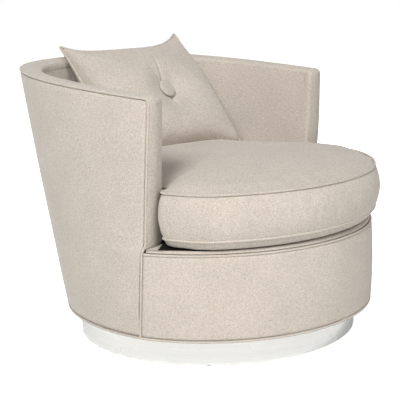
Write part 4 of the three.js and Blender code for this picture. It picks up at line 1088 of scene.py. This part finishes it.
class BARREL_OT_apron(ChairOperator, bpy.types.Operator):
    """Makes the curved front apron, the cloth lip behind its welt, and the black decking"""
    bl_idname = "barrel.apron"
    bl_label = "Front apron and deck"

    def execute(self, context):
        self.front_panel()
        self.deck_lip()
        self.decking()
        return {"FINISHED"}

    def front_panel(self):
        low, high = BODY_BOTTOM + 2 * WELT + GAP, APRON_TOP - WELT - GAP
        z = np.linspace(low, high, 40)
        radius, _, end = apron_circle(z)
        reach = end - (2 * GAP + COVER_THICKNESS * np.cos(end)) / radius
        place = np.linspace(-1, 1, 220)[:, None]
        edge = np.minimum(z - low, high - z)[None, :]
        to_end = (1 - np.abs(place)) * APRON_RUN
        inset = roll_in(edge, depth=2.0, reach=4.0) + roll_in(to_end, depth=1.6, reach=5.0)
        lumps = uneven(apron_point(place * reach, z, 0.0), size=130, seed=3, amount=0.7)
        lumps *= np.clip(edge / SEAM_CALM, 0, 1)
        outer = apron_point(place * reach, z, inset + COVER_REST - lumps)
        inner = apron_point(place * reach[::-6], z[::-6], COVER_THICKNESS)
        panel = add_mesh("front_apron_panel", *skin(np.concatenate([outer, inner], axis=1)))
        finish_piece(panel, "body_fabric", ["front_apron"])

    def deck_lip(self):
        end = apron_end(APRON_TOP)
        nose, foot_z = APRON_TOP + WELT + GAP, SEAT_RAIL_TOP + GAP
        rings = []
        for place in np.linspace(-1, 1, 200) * LIP_END:
            back = lip_back(abs(place))
            foot, quarter, half = (lerp(FRAME_OUTER, back, share) for share in (0.35, 0.25, 0.5))
            section = [(FRAME_OUTER, foot_z), (FRAME_OUTER, nose), (5.6, nose + 0.2), (5.4, nose + 1.6),
                       (6.6, nose + 3.6), (FRAME_OUTER, DECK_TOP - 0.9), (quarter, DECK_TOP - 0.15),
                       (half, DECK_TOP), (back - 5, DECK_TOP - 0.3), (back - 1.6, DECK_TOP - 1.6),
                       (back, DECK_TOP - 4.5), (back, DECK_LOW), (foot, DECK_LOW), (foot, foot_z)]
            rings.append([apron_point(place * end, z, inset) for inset, z in section])
        lip = add_mesh("apron_cloth_lip",
                       *joined(skin(np.array(rings)), self.ledge(-1, end), self.ledge(1, end)))
        finish_piece(lip, "body_fabric", ["deck_lip"])

    def ledge(self, side, end):
        """The cloth corner between the lip and an arm's front, in front of which the decking stops."""
        clear = float(arm_front(DECK_TOP)) - GAP
        inner = float(wall_half(DECK_TOP)) - LEDGE_INNER
        arc = [apron_point(side * share * end, DECK_LOW, LIP_END_DEPTH + GAP)[:2]
               for share in np.linspace(LIP_TURN, LEDGE_END, 12)]
        arc = [p for p in arc if p[1] < clear]
        loop = np.array([(side * inner, clear), *arc, (arc[-1][0], clear)])
        loop = even_line(np.column_stack([loop, np.zeros(len(loop))]), 72, closed=True)
        middle = loop.mean(axis=0)
        levels = [(1, DECK_LOW), (1, DECK_TOP - 3), (0.995, DECK_TOP - 1.2), (0.975, DECK_TOP - 0.3),
                  (0.93, DECK_TOP), (0.5, DECK_TOP + 0.4)]
        poles = [(*middle[:2], z) for z in (DECK_LOW, DECK_TOP + 0.4)]
        return dome_stack(layers(middle, loop, levels), *poles)

    def decking(self):
        places = np.linspace(-1, 1, 90) * LIP_TURN
        end = apron_end(APRON_TOP)
        front = np.array([apron_point(p * end, DECK_LOW, lip_back(abs(p)) + GAP) for p in places])
        places = even_places(160, -0.97, 0.97, z=290)[::-1]
        wall = wall_point(places, DECK_LOW, inner_inset(DECK_TOP) + 2 * GAP)
        limit = float(wall_half(DECK_TOP)) - LEDGE_INNER - GAP
        clear = float(arm_front(DECK_TOP)) - 2 * GAP
        wall[:, 0] = np.clip(wall[:, 0], -limit, limit)
        loop = np.vstack([front, [[limit, clear, DECK_LOW]], wall, [[-limit, clear, DECK_LOW]]])
        loop = even_line(loop, 320, closed=True)
        levels = [(0.97, DECK_LOW), (0.999, DECK_LOW + 0.6), (1, DECK_LOW + 3), (1, DECK_TOP - 2.5),
                  (0.997, DECK_TOP - 0.8), (0.99, DECK_TOP - 0.2)]
        levels += [(share, DECK_TOP) for share in (0.97, 0.9, 0.75, 0.5, 0.25)]
        rings = layers(np.array([*DECK_MIDDLE, 0]), loop, levels)
        poles = [(*DECK_MIDDLE, z) for z in (DECK_LOW, DECK_TOP)]
        deck = add_mesh("black_decking", *dome_stack(rings, *poles))
        finish_piece(deck, "decking_cloth", ["deck_pad"])


def lip_back(share):
    """Inset of the lip's back edge at a share of the apron's end angle."""
    rise = share_of(LIP_TURN - share, 0, LIP_TURN - LIP_THROAT)
    throat = lerp(LIP_END_DEPTH, LIP_THROAT_DEPTH, math.sin(rise * math.pi / 2))
    full = share_of(LIP_FULL[1] - share, 0, LIP_FULL[1] - LIP_FULL[0])
    return lerp(throat, LIP_DEPTH, 0.5 - 0.5 * math.cos(full * math.pi))


def body_outline(z, inset, count):
    """The closed outline of the body at height z, wall and apron."""
    wall = wall_point(np.linspace(-WALL_REACH, WALL_REACH, 400), z, inset)
    front = apron_point(np.linspace(0.985, -0.985, 260) * apron_end(z), z, inset)
    return soften(even_line(np.vstack([wall, front]), count, closed=True), 3)


class BARREL_OT_dust_cover(ChairOperator, bpy.types.Operator):
    """Makes the black dust cloth under the seat, with the hole that the swivel stands in"""
    bl_idname = "barrel.dust_cover"
    bl_label = "Dust cover"

    def execute(self, context):
        rim = body_outline(DUST_LEVEL, FRAME_OUTER + 0.5, 360)
        angle = np.arctan2(rim[:, 1], rim[:, 0])
        hole = np.stack([DUST_HOLE * np.cos(angle), DUST_HOLE * np.sin(angle), rim[:, 2]], axis=-1)
        tacks = 1 + np.sin(np.arange(len(rim)) * 2 * math.pi / 9)
        rings = []
        for share in np.linspace(0, 1, 16):
            ring = lerp(rim, hole, share)
            pull = math.exp(-share * 9) * 0.5 * tacks * math.sin(math.pi * min(1, share * 4))
            ring[:, 2] = DUST_LEVEL - 0.35 - 0.5 * math.sin(math.pi * share) - 0.35 * pull
            rings.append(ring)
        points, faces = skin(np.array(rings))
        sheet = add_mesh("black_dust_cloth", points, faces[:-2])
        wall = sheet.modifiers.new("thickness", "SOLIDIFY")
        wall.thickness = DUST_THICKNESS / 1000
        wall.offset = 0
        bake(sheet)
        finish_piece(sheet, "dust_cloth", ["dust_cover"])
        return {"FINISHED"}


def relax(points, edges, rounds):
    """Evens out a mesh's points over their neighbours."""
    first, second = edges.T
    count = np.bincount(edges.T.ravel(), minlength=len(points))[:, None]
    for _ in range(rounds):
        total = np.zeros_like(points)
        np.add.at(total, first, points[second])
        np.add.at(total, second, points[first])
        points = 0.5 * points + 0.5 * total / np.maximum(count, 1)
    return points


def plump(obj, hold, frames, voxel, pressure, cap, slack):
    """Cloth simulation: blows a piece up a little between the places where hold is 1, then keeps the shape.

    hold takes points in the frame's metres and gives each a share from 0, free, to 1, held. No point moves
    further than the cap, and a slack below 0 gives the cloth more room."""
    remesh = obj.modifiers.new("even_mesh", "REMESH")
    remesh.mode = "VOXEL"
    remesh.voxel_size = voxel
    remesh.use_smooth_shade = True
    bake(obj)
    edges = np.empty(len(obj.data.edges) * 2, int)
    obj.data.edges.foreach_get("vertices", edges)
    edges = edges.reshape(-1, 2)
    start = relax(mesh_vectors(obj), edges, 2)
    obj.data.vertices.foreach_set("co", start.ravel())
    group = obj.vertex_groups.new(name="held")
    for index, weight in enumerate(hold(start)):
        if weight > 0.02:
            group.add([index], float(weight), "REPLACE")
    cloth = obj.modifiers.new("padding", "CLOTH")
    rules = cloth.settings
    for key, value in CLOTH_RULES.items():
        setattr(rules, key, value)
    rules.uniform_pressure_force = pressure
    rules.vertex_group_mass = "held"
    rules.shrink_min = slack
    rules.effector_weights.gravity = 0
    cloth.collision_settings.use_collision = False
    scene = bpy.context.scene
    cloth.point_cache.frame_start = 1
    cloth.point_cache.frame_end = frames
    for step in range(1, frames + 1):
        scene.frame_set(step)
    move = mesh_vectors(obj.evaluated_get(bpy.context.evaluated_depsgraph_get())) - start
    length = np.linalg.norm(move, axis=1, keepdims=True)
    move *= np.minimum(1, cap / np.maximum(length, 1e-9))
    obj.modifiers.clear()
    obj.vertex_groups.clear()
    scene.frame_set(1)
    obj.data.vertices.foreach_set("co", relax(start + move, edges, 1).ravel())
    obj.data.shade_smooth()
    smooth = obj.modifiers.new("finer", "SUBSURF")
    smooth.levels = smooth.render_levels = 1
    return bake(obj)


def near_line(points, line, reach):
    """1 on a line of points, falling to 0 at a reach from it, all in metres."""
    tree = kdtree.KDTree(len(line))
    for index, p in enumerate(line):
        tree.insert(p, index)
    tree.balance()
    distance = np.array([tree.find(p)[2] for p in points])
    return np.clip(1.4 - distance / reach, 0, 1)


def cushion_outline(count):
    """The closed plan outline of the cushion's welts, wrapped round both arm fronts."""
    middle = (TOP_WELT_Z + BOTTOM_WELT_Z) / 2
    side_inset = inner_inset(middle) + CUSHION_SIDE_ROOM
    angles = np.linspace(-CUSHION_ARC, CUSHION_ARC, 160)
    front = np.stack([CUSHION_RADIUS * np.sin(angles), CUSHION_FRONT_Y - CUSHION_RADIUS * np.cos(angles)],
                     axis=-1)
    corner_x, corner_y = EAR_HALF - EAR_CORNER, EAR_BACK_Y - EAR_CORNER
    arc_end = front[-1]
    meet = np.array([EAR_HALF, arc_end[1] + (EAR_HALF - arc_end[0]) * math.tan(CUSHION_ARC)])
    last = np.array([EAR_HALF, corner_y])
    t = np.linspace(0, 1, 24)[1:-1, None]
    shoulder = (1 - t) ** 2 * arc_end + 2 * t * (1 - t) * meet + t ** 2 * last
    turns = np.linspace(0, math.pi / 2, 14)
    ear = np.stack([corner_x + EAR_CORNER * np.cos(turns), corner_y + EAR_CORNER * np.sin(turns)], axis=-1)
    reach = 1 - STRAIGHT / 2
    back = wall_point(even_places(260, -reach, reach, z=370)[::-1], middle, side_inset)[:, :2]
    throat = np.array([[back[0][0], EAR_BACK_Y]])
    right = np.vstack([shoulder, ear, throat])
    left = right[::-1] * (-1, 1)
    loop = np.vstack([front, right, back, left])
    loop = even_line(np.column_stack([loop, np.zeros(len(loop))]), count, closed=True)
    return soften(loop, 2)


class BARREL_OT_cushion(ChairOperator, bpy.types.Operator):
    """Makes the loose seat cushion: a crowned top, a swelling boxing and a soft underside"""
    bl_idname = "barrel.cushion"
    bl_label = "Seat cushion"

    def execute(self, context):
        outline = cushion_outline(420)
        normals = plan_normals(outline)
        cushion = add_mesh("seat_cushion_body", *self.body(outline, normals))
        seams = np.vstack([metres(outline + (0, 0, z)) for z in (BOTTOM_WELT_Z, TOP_WELT_Z)])
        self.fill(cushion, seams)
        settle(cushion, seams)
        finish_piece(cushion, "body_fabric", ["seat_cushion"])
        for name, z in (("top", TOP_WELT_Z), ("bottom", BOTTOM_WELT_Z)):
            line = outline + (0, 0, z)
            wobble = soft_noise(line, size=60, seed=5)[:, None] * 0.5
            add_cord(f"cushion_{name}_cord", line + normals * wobble, WELT, "welt_fabric",
                     f"cushion_{name}_welt", closed=True)
        return {"FINISHED"}

    def body(self, outline, normals):
        """The cushion's underside, its boxing and its top, as sewn."""
        crown, swell = self.shape.cushion_crown, self.shape.cushion_swell
        centre = np.array([0, CUSHION_CENTRE_Y, 0])

        def ring(grow_by, share, z):
            return layers(centre, outline + normals * grow_by, [(share, z)])[0]

        drop = BOTTOM_WELT_Z - (DECK_TOP + GAP)
        sole = [(0.25, 1), (0.5, 1), (0.72, 1), (0.86, 1), (0.92, 0.995), (0.945, 0.93), (0.965, 0.76),
                (0.98, 0.5), (0.992, 0.22)]
        rows = [ring(-CUSHION_WELT_INSET, share, BOTTOM_WELT_Z - drop * part) for share, part in sole]
        rows.append(ring(-CUSHION_WELT_INSET, 1, BOTTOM_WELT_Z))
        height = TOP_WELT_Z - BOTTOM_WELT_Z
        for rise in np.linspace(0.05, 0.95, 15):
            out = math.sin(math.pi * rise) ** 0.75
            rows.append(ring(lerp(-CUSHION_WELT_INSET, swell, out), 1, BOTTOM_WELT_Z + height * rise))
        rows.append(ring(-CUSHION_WELT_INSET, 1, TOP_WELT_Z))
        for share in (0.985, 0.965, 0.94, 0.91, 0.87, 0.82, 0.75, 0.66, 0.55, 0.42, 0.28, 0.14):
            rows.append(ring(-CUSHION_WELT_INSET, share, TOP_WELT_Z + crown * (1 - share ** 2.4)))
        return dome_stack(np.array(rows), (0, CUSHION_CENTRE_Y, DECK_TOP + GAP),
                          (0, CUSHION_CENTRE_Y, TOP_WELT_Z + crown))

    def fill(self, cushion, seams):
        """Blows the cushion up; its seams, its underside and what lies along the padding are held."""
        wall_y = metres([(0, CUSHION_WALL_Y, 0)])[0][1]
        sole_z = (DECK_TOP + 4) / 1000
        crown_z = (TOP_WELT_Z - 4) / 1000

        def hold(found):
            seam = near_line(found, seams, reach=0.012)
            under = np.where(found[:, 2] < sole_z, 1.0, 0.0)
            against_wall = np.clip((found[:, 1] - wall_y) / 0.04, 0, 1) * (found[:, 2] < crown_z)
            return np.maximum(np.maximum(seam, under), against_wall)

        plump(cushion, hold, self.shape.sim_frames, voxel=0.0085, pressure=2.2, cap=0.007, slack=-0.012)


def settle(obj, seams):
    """Small puckers that run across the cushion's seams, and the broad hollows of a sat-on crown."""
    points = mesh_vectors(obj)
    local = points * 1000 - AXIS_SHIFT
    puckers = near_line(points, seams, reach=0.022) * soft_noise(local * (1, 1, 0.25), size=17, seed=6)
    broad = soft_noise(local, size=140, seed=7) * share_of(local[:, 2], TOP_WELT_Z, TOP_WELT_Z + 18)
    push_out(obj, puckers * 0.7 + broad * 1.6)


class BARREL_OT_pillow(ChairOperator, bpy.types.Operator):
    """Makes the throw pillow: two full panels, a welt, and a covered button that draws them in"""
    bl_idname = "barrel.pillow"
    bl_label = "Throw pillow"

    def execute(self, context):
        even = np.linspace(-1, 1, 73)
        shares = np.sin(even * math.pi / 2) * 0.35 + even * 0.65
        a, b = np.meshgrid(shares, shares, indexing="ij")
        x, z = self.seam(a, b, 0)
        front = self.height(a, b, x, z, self.shape.pillow_front, BUTTON_SLOPE)
        back = self.height(a, b, x, z, self.shape.pillow_back, edges=PILLOW_BACK_POWERS)
        points, faces = joined(skin(np.stack([x, -front, z], axis=-1), closed_sections=False),
                               skin(np.stack([x, back, z], axis=-1)[:, ::-1], closed_sections=False))
        self.turn = (Matrix.Rotation(math.radians(PILLOW_YAW), 3, "Z")
                     @ Matrix.Rotation(-math.radians(PILLOW_LEAN), 3, "X"))
        pillow = add_mesh("throw_pillow_body", self.place(points), faces)
        seams = metres(self.place(self.welt_line(0.0)))
        eye_x, eye_z = self.button_place()
        eyes = metres(self.place([(eye_x, -self.eye_height(self.shape.pillow_front), eye_z),
                                  (eye_x, self.eye_height(self.shape.pillow_back), eye_z)]))

        def hold(found):
            return np.maximum(near_line(found, seams, reach=0.007), near_line(found, eyes, reach=0.026))

        plump(pillow, hold, self.shape.sim_frames, voxel=0.0048, pressure=3.0, cap=0.004, slack=-0.004)
        self.crease(pillow)
        finish_piece(pillow, "body_fabric", ["throw_pillow"])
        add_cord("pillow_cord", self.place(self.welt_line(PILLOW_WELT * 0.6)), PILLOW_WELT, "welt_fabric",
                 "pillow_welt", closed=True)
        self.button("pillow_face_button", self.shape.pillow_front, -1, "pillow_button_front")
        self.button("pillow_rear_button", self.shape.pillow_back, 1, "pillow_button_back")
        return {"FINISHED"}

    def place(self, points):
        """Points of the pillow's own frame, in millimetres about the swivel axis."""
        return np.asarray(points, float) @ np.array(self.turn).T + PILLOW_CENTRE

    def seam(self, a, b, grow_by):
        """Places in the pillow's plane: each edge has its own hollow, and the right ears are pulled out."""
        half = PILLOW_SIZE / 2 + grow_by
        side = lerp(*PILLOW_SIDE_HOLLOWS, (a + 1) / 2)
        end = lerp(*PILLOW_END_HOLLOWS, (b + 1) / 2)
        blunt = 1 - PILLOW_BLUNT * np.abs(a * b) ** 10
        right = np.clip(a, 0, 1) ** 4
        raised = self.shape.raised_ear * right * np.clip(b, 0, 1) ** 4
        lower = PILLOW_LOWER_EAR * right * np.clip(-b, 0, 1) ** 4
        x = half * a * blunt * (1 - side * (1 - np.abs(b) ** PILLOW_SIDE_POWER))
        z = half * b * blunt * (1 - end * (1 - np.abs(a) ** PILLOW_END_POWER))
        return x + 0.3 * raised + lower, z + raised

    def button_place(self):
        x, z = self.seam(*(np.array(share) for share in BUTTON_SHARES), 0)
        return float(x), float(z)

    def height(self, a, b, x, z, swell, slope=(0, 0), edges=(PILLOW_EDGE_POWER, PILLOW_TOP_POWER)):
        """Fullness of a panel, drawn in by its button, with a narrow groove where the button's rim bites."""
        upper = np.clip((b + 0.4) / 1.2, 0, 1)
        along = np.maximum(0, 1 - b * b) ** lerp(*edges, upper)
        profile = np.maximum(0, 1 - a * a) ** edges[0] * along
        eye_x, eye_z = self.button_place()
        reach = np.hypot(x - eye_x, z - eye_z)
        tuft = self.shape.tuft_depth * np.exp(-(reach ** 2) / (2 * TUFT_SPREAD ** 2))
        groove = GROOVE_DEPTH * np.exp(-((reach - self.shape.button_radius) / GROOVE_WIDTH) ** 2)
        near = np.exp(-(reach ** 2) / (2 * BUTTON_SLOPE_SPREAD ** 2))
        tilt = (slope[0] * (x - eye_x) + slope[1] * (z - eye_z)) * near
        return (swell - tuft - groove + tilt) * profile

    def eye_height(self, swell):
        a, b = (np.array(share) for share in BUTTON_SHARES)
        return float(self.height(a, b, *self.seam(a, b, 0), swell))

    def welt_line(self, grow_by):
        p = np.linspace(-1, 1, 61)[:-1]
        one = np.ones_like(p)
        a = np.concatenate([p, one, -p, -one])
        b = np.concatenate([-one, p, one, -p])
        x, z = self.seam(a, b, grow_by)
        return soften(even_line(np.stack([x, np.zeros_like(x), z], axis=-1), 260, closed=True))

    def crease(self, pillow):
        """Pull creases that run out from the button, broad unevenness, and small gathers along the seam."""
        local = (mesh_vectors(pillow) * 1000 - AXIS_SHIFT - PILLOW_CENTRE) @ np.array(self.turn)
        x, y, z = local.T
        eye_x, eye_z = self.button_place()
        reach = np.hypot(x - eye_x, z - eye_z)
        angle = np.arctan2(z - eye_z, x - eye_x)
        pull = 0
        for toward, width, depth, length in CREASES:
            across, along = reach * np.sin(angle - toward), reach * np.cos(angle - toward)
            line = np.exp(-(across / width) ** 2 - (along / length) ** 4) * share_of(along, 20, 32)
            pull = pull + depth * line
        from_seam = np.abs(y)
        inside = np.clip(from_seam / 12, 0, 1)
        beside = np.exp(-((from_seam - 12) / 10) ** 2)
        gathers = soft_noise(local * (1, 0.3, 1), size=15, seed=8) * beside * 0.45
        broad = soft_noise(local, size=70, seed=9) * 1.6 * inside
        push_out(pillow, gathers + broad - pull * inside)

    def button(self, name, swell, side, node):
        """A cloth-covered button with small gathers round its rim."""
        radius = self.shape.button_radius
        seat = self.eye_height(swell)
        eye_x, eye_z = self.button_place()
        profile = [(0.55, 1.5), (0.88, 4.0), (0.97, 6.0), (1, 7.8), (0.98, 9.6), (0.9, 11.4), (0.75, 12.8),
                   (0.5, 13.7), (0.25, 14.1)]
        turns = np.linspace(0, 2 * math.pi, 72, endpoint=False)
        gathers = 1 + 0.012 * np.sin(turns * 18)
        rings = []
        for share, rise in profile:
            reach = radius * share * (gathers if share > 0.85 and rise < 9 else 1)
            rings.append(np.stack([eye_x + reach * np.cos(turns), np.full_like(turns, side * (seat + rise)),
                                   eye_z + reach * np.sin(turns)], axis=-1))
        points, faces = dome_stack(np.array(rings), (eye_x, side * (seat + 0.3), eye_z),
                                   (eye_x, side * (seat + 14.2), eye_z))
        if side < 0:
            facing = Vector((-BUTTON_SLOPE[0], -1, -BUTTON_SLOPE[1]))
            tilt = np.array(Vector((0, -1, 0)).rotation_difference(facing).to_matrix())
            eye = np.array([eye_x, -seat, eye_z])
            points = (np.asarray(points) - eye) @ tilt.T + eye
        made = add_mesh(name, self.place(points), faces)
        finish_piece(made, "body_fabric", [node])


class BARREL_OT_welts(ChairOperator, bpy.types.Operator):
    """Makes the body's welts: along the rim and down the arm fronts, over the apron, and round the bottom"""
    bl_idname = "barrel.welts"
    bl_label = "Body welts"

    def execute(self, context):
        low = BODY_BOTTOM + 2 * WELT + GAP
        rim = even_line([rim_point(station, WELT, WELT) for station in rim_stations(low, 90)], 560)
        radius, _, end = apron_circle(APRON_TOP)
        reach = end - (WELT + GAP) / radius
        apron = apron_point(np.linspace(-1, 1, 240) * reach, APRON_TOP, WELT)
        bottom = body_outline(BODY_BOTTOM + WELT, WELT, 520)
        for name, line, node in (("rim_cord", rim, "rim_welt"), ("apron_cord", apron, "apron_top_welt"),
                                 ("bottom_cord", bottom, "bottom_welt")):
            add_cord(name, line, WELT, "welt_fabric", node, closed=line is bottom)
        return {"FINISHED"}


class BARREL_PT_panel(bpy.types.Panel):
    """The chair's settings and makers"""
    bl_idname = "BARREL_PT_panel"
    bl_label = "Swivel barrel chair"
    bl_space_type = "VIEW_3D"
    bl_region_type = "UI"
    bl_category = "Barrel Chair"

    def draw(self, context):
        for group in (context.scene.barrel_chair_fabric, context.scene.barrel_chair_shape,
                      context.scene.barrel_chair_stage):
            box = self.layout.box()
            for key in group.__annotations__:
                box.prop(group, key)
        for maker in MAKERS:
            self.layout.operator(maker.bl_idname)


MAKERS = (BARREL_OT_stage, BARREL_OT_plinth, BARREL_OT_swivel, BARREL_OT_frame, BARREL_OT_barrel,
          BARREL_OT_apron, BARREL_OT_welts, BARREL_OT_dust_cover, BARREL_OT_cushion, BARREL_OT_pillow)
GROUPS = {"barrel_chair_fabric": BarrelChairFabric, "barrel_chair_shape": BarrelChairShape,
          "barrel_chair_stage": BarrelChairStage}


def register():
    for kind in (*GROUPS.values(), *MAKERS, BARREL_PT_panel):
        bpy.utils.register_class(kind)
    for name, kind in GROUPS.items():
        setattr(bpy.types.Scene, name, PointerProperty(type=kind))


def unregister():
    for name in GROUPS:
        delattr(bpy.types.Scene, name)
    for kind in reversed((*GROUPS.values(), *MAKERS, BARREL_PT_panel)):
        bpy.utils.unregister_class(kind)


def main():
    register()
    for maker in MAKERS:
        group, action = maker.bl_idname.split(".")
        getattr(getattr(bpy.ops, group), action)()


if __name__ == "__main__":
    main()
